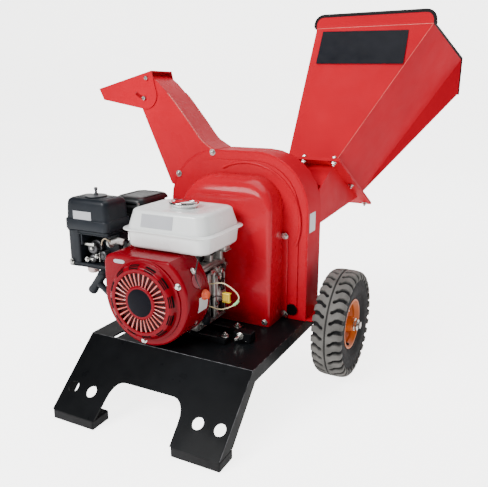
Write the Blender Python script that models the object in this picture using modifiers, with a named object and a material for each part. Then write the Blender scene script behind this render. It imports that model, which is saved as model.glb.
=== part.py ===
"""Towable disc wood chipper with a horizontal-shaft petrol engine.

X runs to the right of the machine, Y from the engine towards the feed hopper, Z up.
The design is laid out from the front edge and middle of the deck, on the ground, and an
empty then carries it so that the origin is the middle of the footprint.
All lengths are metres.
"""

import math

import bmesh
import bpy
from mathutils import Matrix, Vector

# Clearance between pieces that seat on each other
GAP = 0.0003

# Base frame
DECK_WIDTH = 0.460
DECK_LENGTH = 0.440
DECK_TOP = 0.163
FRAME_SHEET = 0.005
SKIRT_DEPTH = 0.033
LEG_REACH = 0.154
FOOT_HEIGHT = 0.025
FOOT_LENGTH = 0.058
LEG_WIDTH = 0.123
LEG_HOLE_RADIUS = 0.0145
LEG_HOLE_HEIGHT = 0.068
LEG_HOLE_INSETS = (0.026, 0.081)
NOTCH_TOP = 0.095
NOTCH_CORNER = 0.035
DECK_SLOT = (0.014, 0.045)
DECK_SLOT_INSET = 0.069
DECK_SLOT_Y = 0.024

# Wheels
TYRE_RADIUS = 0.1475
TYRE_WIDTH = 0.083
TYRE_WALL = 0.009
RIM_RADIUS = 0.072
RIM_SHEET = 0.0035
WHEEL_Y = 0.393
WHEEL_CLEARANCE = 0.0375
AXLE_RADIUS = 0.0095
HUB_RADIUS = 0.015
NUT_LENGTH = 0.011

# Rotor casing
CASING_CENTRE_X = 0.023
CASING_HALF_WIDTH = 0.208
CASING_TOP = 0.610
CASING_CORNER = 0.150
CASING_FRONT_Y = 0.316
CASING_DEPTH = 0.094
CASING_SHEET = 0.004
CASING_FOOT = 0.018
PANEL_INSET = 0.025
PANEL_RISE = 0.004
PORT_RADIUS = 0.016
PORT_FROM_RIGHT = 0.046
PORT_HEIGHT = 0.025

# Rotor
ROTOR_X = 0.027
ROTOR_Z = 0.404
ROTOR_RADIUS = 0.165
DISC_THICKNESS = 0.014
DISC_TO_BACK = 0.018
PADDLE_THICKNESS = 0.008
PADDLE_COUNT = 4
KNIFE_THICKNESS = 0.008
KNIFE_LENGTH = 0.100
KNIFE_WIDTH = 0.045
KNIFE_START = 0.060
SHAFT_RADIUS = 0.0175
BEARING_RADIUS = 0.045
BEARING_DEPTH = 0.016

# Belt drive
COVER_CENTRE_X = 0.032
COVER_HALF_WIDTH = 0.130
COVER_TOP = 0.549
COVER_CORNER = 0.080
COVER_DEPTH = 0.082
COVER_SHEET = 0.0025
PULLEY_WIDTH = 0.036
PULLEY_TO_CASING = 0.034
ROTOR_PULLEY_RADIUS = 0.062
ENGINE_PULLEY_RADIUS = 0.038
BELT_WIDTH = 0.012
BELT_HEIGHT = 0.008

# Engine
CRANK_X = -0.050
CRANK_HEIGHT = 0.106
CRANK_RADIUS = 0.010
RAIL_HEIGHT = 0.015
RAIL_WIDTH = 0.035
RAIL_YS = (0.1035, 0.1700)
RAIL_ENDS = (-0.170, 0.112)
SHROUD_RADIUS = 0.120
SHROUD_RISE = 0.004
SHROUD_LEFT = -0.169
SHROUD_FRONT = -0.010
SHROUD_BACK = 0.085
SHROUD_SHEET = 0.0025
FAN_HOLE_RADIUS = 0.088
RECOIL_RADIUS = 0.101
RECOIL_DEPTH = 0.023
RECOIL_FLANGE = 0.003
FLYWHEEL_RADIUS = 0.084
PULL_WAY = (-0.8, 0.0, 0.6)
HANDLE_Y = 0.010
HANDLE_DROP = -0.014
HANDLE_STEM = 0.044
HANDLE_STEM_RADIUS = 0.0075
HANDLE_HALF_LENGTH = 0.036
HANDLE_RADIUS = 0.0125
CRANKCASE_HALF_WIDTH = 0.085
CRANKCASE_LENGTH = 0.126
CRANKCASE_HEIGHT = 0.167
PTO_RADIUS = 0.044
PTO_LENGTH = 0.018
CYLINDER_TILT = math.radians(15)
CYLINDER_LENGTH = 0.118
CYLINDER_HEIGHT = 0.084
CYLINDER_WIDTH = 0.080
FIN_COUNT = 6
FIN_DEPTH = 0.008
HEAD_COVER_LENGTH = 0.028

# Fuel tank
TANK_LEFT = -0.147
TANK_RIGHT = 0.088
TANK_FRONT = 0.040
TANK_LENGTH = 0.186
TANK_TOP_DRAFT = 0.013
TANK_BOTTOM_DRAFT = 0.004
TANK_BOTTOM = 0.3905
TANK_SEAM = 0.437
TANK_TOP = 0.488
TANK_CORNER = 0.030
SEAM_LIP = 0.006
SEAM_LIP_SIDE = 0.012
SEAM_THICKNESS = 0.003
TANK_EDGE = 0.018
CAP_RADIUS = 0.037
CAP_HEIGHT = 0.013
NECK_HEIGHT = 0.004
CAP_X = -0.022
CAP_Y = 0.127

# Air cleaner, carburettor and muffler
CLEANER_LEFT = -0.328
CLEANER_WIDTH = 0.141
CLEANER_FRONT = 0.030
CLEANER_LENGTH = 0.098
CLEANER_BOTTOM = 0.322
CLEANER_SPLIT = 0.421
CLEANER_TOP = 0.503
CASE_INSET = 0.003
MUFFLER_LEFT = -0.2625
MUFFLER_WIDTH = 0.1005
MUFFLER_FRONT = 0.140
MUFFLER_LENGTH = 0.136
MUFFLER_BOTTOM = 0.400
MUFFLER_TOP = 0.493
CUP_RADIUS = 0.016

# Discharge
CHUTE_SHEET = 0.003
CHUTE_FOOT = (-0.185, 0.508)
CHUTE_LEFT_TOP = (-0.277, 0.712)
PIVOT = (-0.257, 0.797)
PIVOT_EAR = 0.009
CLAMP_RADIUS = 0.055
CLAMP_ANGLE = math.radians(259.5)
BOLT_RADIUS = 0.004
BOLT_HEAD_RADIUS = 0.0075
BOLT_HEAD = 0.005

# Feed neck and hopper
FEED_LEFT = 0.084
FEED_WIDTH = 0.141
FEED_SHEET = 0.003
FEED_SILL = 0.411
FEED_LINTEL = 0.506
FLANGE_TOP = (0.518, 0.561)
FLANGE_LOW = (0.785, 0.427)
FLANGE_MARGIN = 0.030
FLANGE_TOP_MARGIN = 0.043
FLANGE_LOW_MARGIN = 0.068
FLANGE_SHEET = 0.004
MOUTH_TOP = (0.734, 0.946)
MOUTH_BACK_HIGH = (1.082, 0.862)
MOUTH_BACK_LOW = (1.082, 0.752)
MOUTH_TOP_RIGHT = 0.431
LIP_HEIGHT = 0.031
LIP_CORNER = 0.022
TRIM_RADIUS = 0.0045

# Derived places
HALF_DECK = DECK_WIDTH / 2
DECK_UNDER = DECK_TOP - FRAME_SHEET
FLOOR_Z = DECK_TOP + GAP
CASING_BACK_Y = CASING_FRONT_Y + CASING_DEPTH
CASING_LEFT = CASING_CENTRE_X - CASING_HALF_WIDTH
CASING_RIGHT = CASING_CENTRE_X + CASING_HALF_WIDTH
COVER_FRONT_Y = CASING_FRONT_Y - COVER_DEPTH
RAIL_TOP = FLOOR_Z + RAIL_HEIGHT
ENGINE_Z = RAIL_TOP + GAP
CRANK_Z = ENGINE_Z + CRANK_HEIGHT
CRANKCASE_FRONT = SHROUD_BACK + GAP
CRANKCASE_BACK = CRANKCASE_FRONT + CRANKCASE_LENGTH
CRANKCASE_TOP = ENGINE_Z + CRANKCASE_HEIGHT
FEED_RIGHT = FEED_LEFT + FEED_WIDTH
PULLEY_Y = CASING_FRONT_Y - PULLEY_TO_CASING - PULLEY_WIDTH
WHEEL_X = HALF_DECK + WHEEL_CLEARANCE + TYRE_WIDTH / 2

MATERIALS = {
    "black_paint": ((0.02, 0.02, 0.022), 0.45, 0.0),
    "red_paint": ((0.62, 0.02, 0.02), 0.35, 0.0),
    "red_engine": ((0.50, 0.01, 0.02), 0.30, 0.0),
    "white_paint": ((0.85, 0.86, 0.84), 0.30, 0.0),
    "black_plastic": ((0.02, 0.02, 0.02), 0.50, 0.0),
    "red_plastic": ((0.55, 0.02, 0.02), 0.40, 0.0),
    "rubber": ((0.03, 0.03, 0.03), 0.85, 0.0),
    "tyre_rubber": ((0.10, 0.09, 0.08), 0.90, 0.0),
    "orange_paint": ((0.85, 0.25, 0.03), 0.40, 0.0),
    "bright_steel": ((0.70, 0.70, 0.70), 0.30, 1.0),
    "chrome": ((0.85, 0.85, 0.86), 0.10, 1.0),
    "cast_alloy": ((0.60, 0.60, 0.60), 0.50, 1.0),
    "dark_steel": ((0.25, 0.25, 0.26), 0.45, 1.0),
    "wire_yellow": ((0.75, 0.65, 0.05), 0.50, 0.0),
    "wire_black": ((0.02, 0.02, 0.02), 0.50, 0.0),
}

for old in list(bpy.data.objects):
    bpy.data.objects.remove(old, do_unlink=True)

parts = bpy.data.collections.new("wood_chipper")
bpy.context.scene.collection.children.link(parts)
origin = bpy.data.objects.new("footprint_middle", None)
parts.objects.link(origin)


# ---------------------------------------------------------------- building blocks


def material(name):
    """The Principled material of that name, made the first time it is asked for."""
    if name in bpy.data.materials:
        return bpy.data.materials[name]
    colour, roughness, metallic = MATERIALS[name]
    made = bpy.data.materials.new(name)
    made.use_nodes = True
    shader = made.node_tree.nodes["Principled BSDF"]
    shader.inputs["Base Color"].default_value = (*colour, 1.0)
    shader.inputs["Roughness"].default_value = roughness
    shader.inputs["Metallic"].default_value = metallic
    return made


def solid(name, bm):
    """A new object at the design origin from a bmesh, with its faces turned outwards."""
    bmesh.ops.remove_doubles(bm, verts=bm.verts, dist=0.000002)
    bmesh.ops.recalc_face_normals(bm, faces=bm.faces)
    mesh = bpy.data.meshes.new(name)
    bm.to_mesh(mesh)
    bm.free()
    made = bpy.data.objects.new(name, mesh)
    parts.objects.link(made)
    return made


def evaluated(obj):
    """A bmesh of an object as its modifiers leave it, in design space; the object goes."""
    bpy.context.view_layer.update()
    seen = obj.evaluated_get(bpy.context.evaluated_depsgraph_get())
    mesh = bpy.data.meshes.new_from_object(seen)
    mesh.transform(obj.matrix_world)
    bm = bmesh.new()
    bm.from_mesh(mesh)
    bpy.data.meshes.remove(mesh)
    bpy.data.objects.remove(obj, do_unlink=True)
    return bm


def block(name, low, high):
    """A box between two corners."""
    low = Vector(low)
    high = Vector(high)
    bm = bmesh.new()
    bmesh.ops.create_cube(bm, size=1.0)
    bmesh.ops.scale(bm, vec=high - low, verts=bm.verts)
    bmesh.ops.translate(bm, vec=(low + high) / 2, verts=bm.verts)
    return solid(name, bm)


def rod(name, start, end, radius, segments=20, end_radius=None):
    """A round bar, or a cone, from one point to another."""
    start = Vector(start)
    end = Vector(end)
    bm = bmesh.new()
    bmesh.ops.create_cone(
        bm,
        cap_ends=True,
        segments=segments,
        radius1=radius,
        radius2=radius if end_radius is None else end_radius,
        depth=(end - start).length,
    )
    turn = (end - start).to_track_quat("Z", "Y").to_matrix().to_4x4()
    bmesh.ops.transform(bm, matrix=Matrix.Translation((start + end) / 2) @ turn, verts=bm.verts)
    return solid(name, bm)


PLANES = {
    "XZ": Matrix(((1, 0, 0, 0), (0, 0, 1, 0), (0, 1, 0, 0), (0, 0, 0, 1))),
    "YZ": Matrix(((0, 0, 1, 0), (1, 0, 0, 0), (0, 1, 0, 0), (0, 0, 0, 1))),
    "XY": Matrix.Identity(4),
}


def prism(name, plane, low, high, outline, holes=()):
    """A flat outline, with any holes, drawn in a plane and carried from low to high."""
    drawing = bpy.data.curves.new(name, "CURVE")
    drawing.dimensions = "2D"
    drawing.fill_mode = "BOTH"
    drawing.extrude = (high - low) / 2
    for points in (outline, *holes):
        spline = drawing.splines.new("POLY")
        spline.points.add(len(points) - 1)
        spline.use_cyclic_u = True
        for point, (u, v) in zip(spline.points, points):
            point.co = (u, v, 0.0, 1.0)
    holder = bpy.data.objects.new(name, drawing)
    parts.objects.link(holder)
    bm = evaluated(holder)
    bmesh.ops.translate(bm, vec=(0, 0, (low + high) / 2), verts=bm.verts)
    bmesh.ops.transform(bm, matrix=PLANES[plane], verts=bm.verts)
    return solid(name, bm)


def lofted(name, rings):
    """A closed solid through level rings of equally many points, given from the lowest up."""
    mesh = bmesh.new()
    loops = [[mesh.verts.new((x, y, level)) for x, y in points] for level, points in rings]
    for low, high in zip(loops, loops[1:]):
        for index in range(len(low)):
            after = (index + 1) % len(low)
            mesh.faces.new((low[index], low[after], high[after], high[index]))
    mesh.faces.new(reversed(loops[0]))
    mesh.faces.new(loops[-1])
    return solid(name, mesh)


def turned(name, centre, axis, profile, steps=24):
    """A closed profile of (radius, distance along the axis) spun round the axis."""
    mesh = bpy.data.meshes.new(name)
    count = len(profile)
    edges = [(i, (i + 1) % count) for i in range(count)]
    mesh.from_pydata([(radius, 0.0, along) for radius, along in profile], edges, [])
    holder = bpy.data.objects.new(name, mesh)
    parts.objects.link(holder)
    screw = holder.modifiers.new("spin", "SCREW")
    screw.steps = steps
    screw.render_steps = steps
    screw.use_merge_vertices = True
    screw.merge_threshold = 0.00001
    bm = evaluated(holder)
    turn = Vector(axis).to_track_quat("Z", "Y").to_matrix().to_4x4()
    bmesh.ops.transform(bm, matrix=Matrix.Translation(Vector(centre)) @ turn, verts=bm.verts)
    return solid(name, bm)


def tube(name, points, radius, cyclic=False, resolution=2):
    """A round bar along a line of points."""
    path = bpy.data.curves.new(name, "CURVE")
    path.dimensions = "3D"
    path.bevel_depth = radius
    path.bevel_resolution = resolution
    path.use_fill_caps = not cyclic
    spline = path.splines.new("POLY")
    spline.points.add(len(points) - 1)
    spline.use_cyclic_u = cyclic
    for point, place in zip(spline.points, points):
        point.co = (*place, 1.0)
    holder = bpy.data.objects.new(name, path)
    parts.objects.link(holder)
    return solid(name, evaluated(holder))


def combine(target, others, operation):
    """The target joined with, or cut by, the other solids, which are used up."""
    for other in others:
        boolean = target.modifiers.new(operation.lower(), "BOOLEAN")
        boolean.operation = operation
        boolean.object = other
        boolean.solver = "EXACT"
        name = target.name
        bm = evaluated(target)
        bpy.data.objects.remove(other, do_unlink=True)
        target = solid("shape", bm)
        target.name = name
    return target


def cut(target, *others):
    return combine(target, others, "DIFFERENCE")


def join(target, *others):
    return combine(target, others, "UNION")


def rounded(obj, width, segments=2, angle=35.0):
    """The object with its sharp edges rounded."""
    bevel = obj.modifiers.new("bevel", "BEVEL")
    bevel.width = width
    bevel.segments = segments
    bevel.limit_method = "ANGLE"
    bevel.angle_limit = math.radians(angle)
    name = obj.name
    made = solid("shape", evaluated(obj))
    made.name = name
    return made


def finish(obj, slot, pivot=None):
    """Gives a piece its material and shading, and puts its origin on its joint's axis."""
    obj.data.materials.clear()
    obj.data.materials.append(material(slot))
    obj.data.shade_smooth()
    obj.data.set_sharp_from_angle(angle=math.radians(35))
    if pivot is None:
        corners = [Vector(corner) for corner in obj.bound_box]
        pivot = (corners[0] + corners[6]) / 2
    pivot = Vector(pivot)
    obj.data.transform(Matrix.Translation(-pivot))
    obj.location = pivot
    obj.parent = origin
    return obj


# ---------------------------------------------------------------- outlines


def arc(centre, radius, start, end, count):
    """Points on a circle between two angles in degrees, both ends included."""
    angles = [math.radians(start + (end - start) * i / (count - 1)) for i in range(count)]
    return [(centre[0] + radius * math.cos(a), centre[1] + radius * math.sin(a)) for a in angles]


def arch(left, right, bottom, top, corner, count=8):
    """A door shape: straight sides and foot, with both upper corners rounded."""
    upper_right = arc((right - corner, top - corner), corner, 0, 90, count)
    upper_left = arc((left + corner, top - corner), corner, 90, 180, count)
    return [(left, bottom), (right, bottom), *upper_right, *upper_left]


def pill(centre, width, length, count=7):
    """A slot outline with round ends, long in the second direction."""
    half = (length - width) / 2
    top = arc((centre[0], centre[1] + half), width / 2, 0, 180, count)
    low = arc((centre[0], centre[1] - half), width / 2, 180, 360, count)
    return top + low


# ---------------------------------------------------------------- base frame and wheels


def leg_slope():
    """The unit vector down the leg plate in the YZ plane, and its outward normal."""
    down = Vector((-LEG_REACH, FOOT_HEIGHT + GAP - DECK_TOP)).normalized()
    return down, Vector((down.y, -down.x))


def base_frame():
    down, out = leg_slope()
    foot_top = FOOT_HEIGHT + GAP

    def under(depth):
        """The bend and the foot end of the line that lies a depth below the outside."""
        start = Vector((0.0, DECK_TOP)) - out * depth
        bend = start + down * ((DECK_TOP - depth - start.y) / down.y)
        foot = start + down * ((foot_top - start.y) / down.y)
        return tuple(bend), tuple(foot)

    bend, foot = under(FRAME_SHEET)
    skirt_bend = under(SKIRT_DEPTH)[0]
    outline = [
        (DECK_LENGTH, DECK_TOP),
        (0.0, DECK_TOP),
        (-LEG_REACH, foot_top),
        (-LEG_REACH + FOOT_LENGTH, foot_top),
        skirt_bend,
        (DECK_LENGTH, DECK_TOP - SKIRT_DEPTH),
    ]
    past_foot = Vector(foot) + down * FOOT_HEIGHT
    past_end = DECK_LENGTH + FRAME_SHEET
    room = [(past_end, DECK_UNDER), bend, tuple(past_foot), (past_end, past_foot.y)]
    frame = prism("base_frame", "YZ", -HALF_DECK, HALF_DECK, outline)
    between = HALF_DECK - FRAME_SHEET
    cutters = [prism("room", "YZ", -between, between, room)]

    notch_half = HALF_DECK - LEG_WIDTH
    lean = 0.004
    centre_z = NOTCH_TOP - NOTCH_CORNER
    centre_x = notch_half - lean - NOTCH_CORNER
    notch = [
        (-notch_half, 0.0),
        (notch_half, 0.0),
        *arc((centre_x, centre_z), NOTCH_CORNER, 0, 90, 6),
        *arc((-centre_x, centre_z), NOTCH_CORNER, 90, 180, 6),
    ]
    cutters.append(prism("notch", "XZ", -2 * LEG_REACH, 0.0, notch))
    for side in (-1, 1):
        for inset in LEG_HOLE_INSETS:
            along = (LEG_HOLE_HEIGHT - DECK_TOP) / down.y
            middle = Vector((side * (HALF_DECK - inset), down.x * along, LEG_HOLE_HEIGHT))
            axis = Vector((0.0, out.x, out.y))
            reach = 4 * FRAME_SHEET
            cutters.append(
                rod("hole", middle - axis * reach, middle + axis * reach, LEG_HOLE_RADIUS)
            )
        cutters.append(
            rod(
                "axle_hole",
                (side * (HALF_DECK - 2 * FRAME_SHEET), WHEEL_Y, TYRE_RADIUS),
                (side * (HALF_DECK + FRAME_SHEET), WHEEL_Y, TYRE_RADIUS),
                AXLE_RADIUS + GAP,
            )
        )
    slot = pill((-HALF_DECK + DECK_SLOT_INSET, DECK_SLOT_Y), *DECK_SLOT)
    cutters.append(prism("slot", "XY", DECK_UNDER - FRAME_SHEET, DECK_TOP + FRAME_SHEET, slot))
    finish(cut(frame, *cutters), "black_paint")


def feet():
    for side, name in ((-1, "foot_left"), (1, "foot_right")):
        xs = sorted((side * HALF_DECK, side * (HALF_DECK - LEG_WIDTH)))
        low = (xs[0], -LEG_REACH, 0.0)
        high = (xs[1], -LEG_REACH + FOOT_LENGTH, FOOT_HEIGHT)
        finish(rounded(block(name, low, high), 0.003, 1), "rubber")


def wheels():
    hub_inner = HALF_DECK + 0.002
    hub_outer = WHEEL_X + TYRE_WIDTH / 2 - 0.006
    axle_end = hub_outer + NUT_LENGTH + 0.006
    finish(
        rod("axle", (-axle_end, WHEEL_Y, TYRE_RADIUS), (axle_end, WHEEL_Y, TYRE_RADIUS), AXLE_RADIUS),
        "bright_steel",
    )
    bore = AXLE_RADIUS + GAP
    half = TYRE_WIDTH / 2
    bead = RIM_RADIUS + GAP
    for side, hand in ((-1, "left"), (1, "right")):
        centre = Vector((side * WHEEL_X, WHEEL_Y, TYRE_RADIUS))
        axis = (side, 0, 0)
        inner = hub_inner - WHEEL_X
        outer = hub_outer - WHEEL_X
        web = 0.010
        seat = half - 0.014
        rim = [
            (bore, outer),
            (HUB_RADIUS, outer),
            (HUB_RADIUS, web + RIM_SHEET),
            (RIM_RADIUS - RIM_SHEET, web + RIM_SHEET),
            (RIM_RADIUS - RIM_SHEET, seat + RIM_SHEET),
            (RIM_RADIUS + 0.009, seat + RIM_SHEET),
            (RIM_RADIUS + 0.009, seat),
            (RIM_RADIUS, seat),
            (RIM_RADIUS, -seat),
            (RIM_RADIUS + 0.009, -seat),
            (RIM_RADIUS + 0.009, -seat - RIM_SHEET),
            (RIM_RADIUS - RIM_SHEET, -seat - RIM_SHEET),
            (RIM_RADIUS - RIM_SHEET, web),
            (HUB_RADIUS, web),
            (HUB_RADIUS, inner),
            (bore, inner),
        ]
        finish(turned("rim_" + hand, centre, axis, rim, 28), "orange_paint", centre)
        inside = seat - GAP
        tyre = [
            (bead, inside),
            (RIM_RADIUS + 0.020, inside),
            (RIM_RADIUS + 0.028, half),
            (TYRE_RADIUS - 0.022, half),
            (TYRE_RADIUS - 0.006, half - 0.006),
            (TYRE_RADIUS, half - 0.020),
            (TYRE_RADIUS, -half + 0.020),
            (TYRE_RADIUS - 0.006, -half + 0.006),
            (TYRE_RADIUS - 0.022, -half),
            (RIM_RADIUS + 0.028, -half),
            (RIM_RADIUS + 0.020, -inside),
            (bead, -inside),
            (bead, -inside + TYRE_WALL),
            (TYRE_RADIUS - 0.022, -half + TYRE_WALL),
            (TYRE_RADIUS - 0.006 - TYRE_WALL, 0.0),
            (TYRE_RADIUS - 0.022, half - TYRE_WALL),
            (bead, inside - TYRE_WALL),
        ]
        finish(turned("tyre_" + hand, centre, axis, tyre, 28), "tyre_rubber", centre)
        start = Vector((side * (hub_outer + GAP), WHEEL_Y, TYRE_RADIUS))
        end = Vector((side * (hub_outer + NUT_LENGTH), WHEEL_Y, TYRE_RADIUS))
        nut = rod("axle_nut_" + hand, start, end, 1.7 * AXLE_RADIUS, 6)
        hole = rod("bore", start - Vector(axis) * 0.01, end + Vector(axis) * 0.01, bore, 16)
        finish(cut(nut, hole), "bright_steel")


# ---------------------------------------------------------------- casing and rotor


def casing_outline(inset):
    return arch(
        CASING_LEFT + inset,
        CASING_RIGHT - inset,
        FLOOR_Z + inset,
        CASING_TOP - inset,
        CASING_CORNER - inset,
    )


def chute_right_wall():
    """The curved wall of the discharge chute, from its top end down to the casing."""
    return [
        (-0.246, 0.804),
        (-0.218, 0.783),
        (-0.172, 0.738),
        (-0.123, 0.680),
        (-0.083, 0.632),
        (-0.043, CASING_TOP),
    ]


def chute_passage():
    """The way through the chute: its inside, run on into the casing and past its mouth."""
    inside = CHUTE_SHEET
    curve = [(x - 0.7 * inside, z - 0.7 * inside) for x, z in chute_right_wall()]
    foot = (CHUTE_FOOT[0] + 1.2 * inside, CHUTE_FOOT[1])
    top = (CHUTE_LEFT_TOP[0] + 1.2 * inside, CHUTE_LEFT_TOP[1])
    outlet = [(PIVOT[0] - 0.06, PIVOT[1] - 0.03), (curve[0][0] - 0.02, curve[0][1])]
    middle = (CASING_LEFT + CASING_CORNER, CASING_TOP - CASING_CORNER)
    return [foot, top, *outlet, *curve, (middle[0] + 0.01, middle[1] + 0.06), (middle[0] - 0.06, middle[1])]


def rotor_casing():
    casing = prism("rotor_casing", "XZ", CASING_FRONT_Y, CASING_BACK_Y, casing_outline(0.0))
    inside = prism(
        "inside",
        "XZ",
        CASING_FRONT_Y - CASING_SHEET,
        CASING_BACK_Y - CASING_SHEET,
        casing_outline(CASING_SHEET),
    )
    foot = block(
        "foot",
        (CASING_LEFT - CASING_FOOT, CASING_FRONT_Y + CASING_SHEET + GAP, FLOOR_Z),
        (CASING_RIGHT + CASING_FOOT, CASING_BACK_Y + CASING_FOOT, FLOOR_Z + CASING_SHEET),
    )
    feed = block(
        "feed",
        (FEED_LEFT + FEED_SHEET, CASING_BACK_Y - 0.02, FEED_SILL + FEED_SHEET),
        (FEED_RIGHT - FEED_SHEET, CASING_BACK_Y + 0.02, FEED_LINTEL - FEED_SHEET),
    )
    shaft = rod(
        "shaft_hole",
        (ROTOR_X, CASING_BACK_Y - 0.02, ROTOR_Z),
        (ROTOR_X, CASING_BACK_Y + 0.02, ROTOR_Z),
        SHAFT_RADIUS + 0.003,
    )
    outlet = prism(
        "outlet",
        "XZ",
        CASING_FRONT_Y + CHUTE_SHEET,
        CASING_BACK_Y - CASING_SHEET,
        chute_passage(),
    )
    casing = join(casing, foot)
    finish(cut(casing, inside, feed, shaft, outlet), "red_paint")


def casing_front():
    """The front panel: a plate inside the casing's rim with a raised middle."""
    slack = CASING_SHEET + GAP
    plate = prism(
        "casing_front",
        "XZ",
        CASING_FRONT_Y,
        CASING_FRONT_Y + CASING_SHEET,
        casing_outline(slack),
    )
    raised = prism(
        "raised",
        "XZ",
        CASING_FRONT_Y - PANEL_RISE,
        CASING_FRONT_Y + CASING_SHEET / 2,
        casing_outline(PANEL_INSET),
    )
    holes = [((ROTOR_X, ROTOR_Z), SHAFT_RADIUS + 0.003)]
    holes.append(((CASING_RIGHT - PORT_FROM_RIGHT, DECK_TOP + PORT_HEIGHT), PORT_RADIUS))
    plate = join(plate, raised)
    cutters = [
        rod(
            "hole",
            (x, CASING_FRONT_Y - 0.02, z),
            (x, CASING_FRONT_Y + 0.02, z),
            radius,
        )
        for (x, z), radius in holes
    ]
    finish(cut(plate, *cutters), "red_paint")


def rotor():
    middle = Vector((ROTOR_X, 0.0, ROTOR_Z))
    disc_back = CASING_BACK_Y - CASING_SHEET - DISC_TO_BACK
    disc_front = disc_back - DISC_THICKNESS
    shaft_front = PULLEY_Y - 0.004
    shaft_back = CASING_BACK_Y + BEARING_DEPTH + 0.012
    finish(
        rod(
            "rotor_shaft",
            middle + Vector((0, shaft_front, 0)),
            middle + Vector((0, shaft_back, 0)),
            SHAFT_RADIUS,
        ),
        "bright_steel",
        middle + Vector((0, disc_back, 0)),
    )
    disc = rod(
        "rotor_disc",
        middle + Vector((0, disc_front, 0)),
        middle + Vector((0, disc_back, 0)),
        ROTOR_RADIUS,
        40,
    )
    hub_front = CASING_FRONT_Y + CASING_SHEET + 0.006
    hub = rod(
        "hub",
        middle + Vector((0, hub_front, 0)),
        middle + Vector((0, disc_back - 0.001, 0)),
        2 * SHAFT_RADIUS,
    )
    disc = join(disc, hub)
    for index in range(PADDLE_COUNT):
        paddle = block(
            "paddle",
            (1.5 * SHAFT_RADIUS, hub_front, -PADDLE_THICKNESS / 2),
            (ROTOR_RADIUS - 0.004, disc_front + 0.002, PADDLE_THICKNESS / 2),
        )
        paddle.rotation_euler = (0.0, math.radians(45.0 + 360.0 / PADDLE_COUNT * index), 0.0)
        paddle.location = middle
        disc = join(disc, paddle)
    bore = rod(
        "bore",
        middle + Vector((0, hub_front - 0.01, 0)),
        middle + Vector((0, disc_back + 0.01, 0)),
        SHAFT_RADIUS + GAP,
    )
    finish(cut(disc, bore), "dark_steel", middle + Vector((0, disc_back, 0)))
    for index in range(2):
        knife = block(
            "knife_%d" % (index + 1),
            (KNIFE_START, disc_back + GAP, -KNIFE_WIDTH / 2),
            (KNIFE_START + KNIFE_LENGTH, disc_back + KNIFE_THICKNESS, KNIFE_WIDTH / 2),
        )
        knife.rotation_euler = (0.0, math.radians(180.0 * index), 0.0)
        knife.location = middle
        name = knife.name
        made = solid("shape", evaluated(knife))
        made.name = name
        finish(made, "bright_steel", middle + Vector((0, disc_back, 0)))
    finish(
        block(
            "bed_knife",
            (FEED_LEFT, CASING_BACK_Y - CASING_SHEET - 0.008, FEED_SILL - 0.012),
            (
                min(FEED_RIGHT, CASING_RIGHT - CASING_SHEET) - FEED_SHEET,
                CASING_BACK_Y - CASING_SHEET - GAP,
                FEED_SILL + FEED_SHEET,
            ),
        ),
        "bright_steel",
    )
    bearings = (
        ("bearing_front", CASING_FRONT_Y - PANEL_RISE - GAP, -1),
        ("bearing_rear", CASING_BACK_Y + GAP, 1),
    )
    for name, seat, way in bearings:
        profile = [
            (SHAFT_RADIUS + GAP, 0.0),
            (BEARING_RADIUS, 0.0),
            (BEARING_RADIUS, 0.4 * BEARING_DEPTH),
            (0.65 * BEARING_RADIUS, 0.5 * BEARING_DEPTH),
            (0.60 * BEARING_RADIUS, BEARING_DEPTH),
            (SHAFT_RADIUS + GAP, BEARING_DEPTH),
        ]
        centre = middle + Vector((0, seat, 0))
        finish(turned(name, centre, (0, way, 0), profile), "cast_alloy")


# ---------------------------------------------------------------- belt drive


def belt_cover():
    left = COVER_CENTRE_X - COVER_HALF_WIDTH
    right = COVER_CENTRE_X + COVER_HALF_WIDTH
    back = CASING_FRONT_Y - PANEL_RISE - GAP
    outline = arch(left, right, FLOOR_Z, COVER_TOP, COVER_CORNER)
    cover = prism("belt_cover", "XZ", COVER_FRONT_Y, back, outline)
    foot = block(
        "foot",
        (right - 0.01, COVER_FRONT_Y + 0.010, FLOOR_Z),
        (right + CASING_FOOT, back - 0.012, FLOOR_Z + COVER_SHEET),
    )
    inner = arch(
        left + COVER_SHEET,
        right - COVER_SHEET,
        FLOOR_Z + COVER_SHEET,
        COVER_TOP - COVER_SHEET,
        COVER_CORNER - COVER_SHEET,
    )
    inside = prism("inside", "XZ", COVER_FRONT_Y + COVER_SHEET, back + 0.01, inner)
    crank = rod(
        "crank_hole",
        (CRANK_X, COVER_FRONT_Y - 0.01, CRANK_Z),
        (CRANK_X, COVER_FRONT_Y + 0.01, CRANK_Z),
        0.030,
    )
    finish(cut(join(cover, foot), inside, crank), "red_paint")


def groove_centres():
    """Where the two belts run, along Y."""
    return [PULLEY_Y + PULLEY_WIDTH * share for share in (0.27, 0.73)]


def pulley(name, middle, radius, bore, pivot_y):
    """A two-groove pulley; its grooves clear the belts on both sides and below."""
    half = BELT_WIDTH / 2 + GAP
    bottom = radius - BELT_HEIGHT
    profile = [(bore, 0.0), (radius, 0.0)]
    for centre in groove_centres():
        along = centre - PULLEY_Y
        profile += [
            (radius, along - half),
            (bottom, along - half),
            (bottom, along + half),
            (radius, along + half),
        ]
    profile += [(radius, PULLEY_WIDTH), (bore, PULLEY_WIDTH)]
    centre = Vector((middle[0], PULLEY_Y, middle[1]))
    made = turned(name, centre, (0, 1, 0), profile, 24)
    finish(made, "dark_steel", (middle[0], pivot_y, middle[1]))


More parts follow.
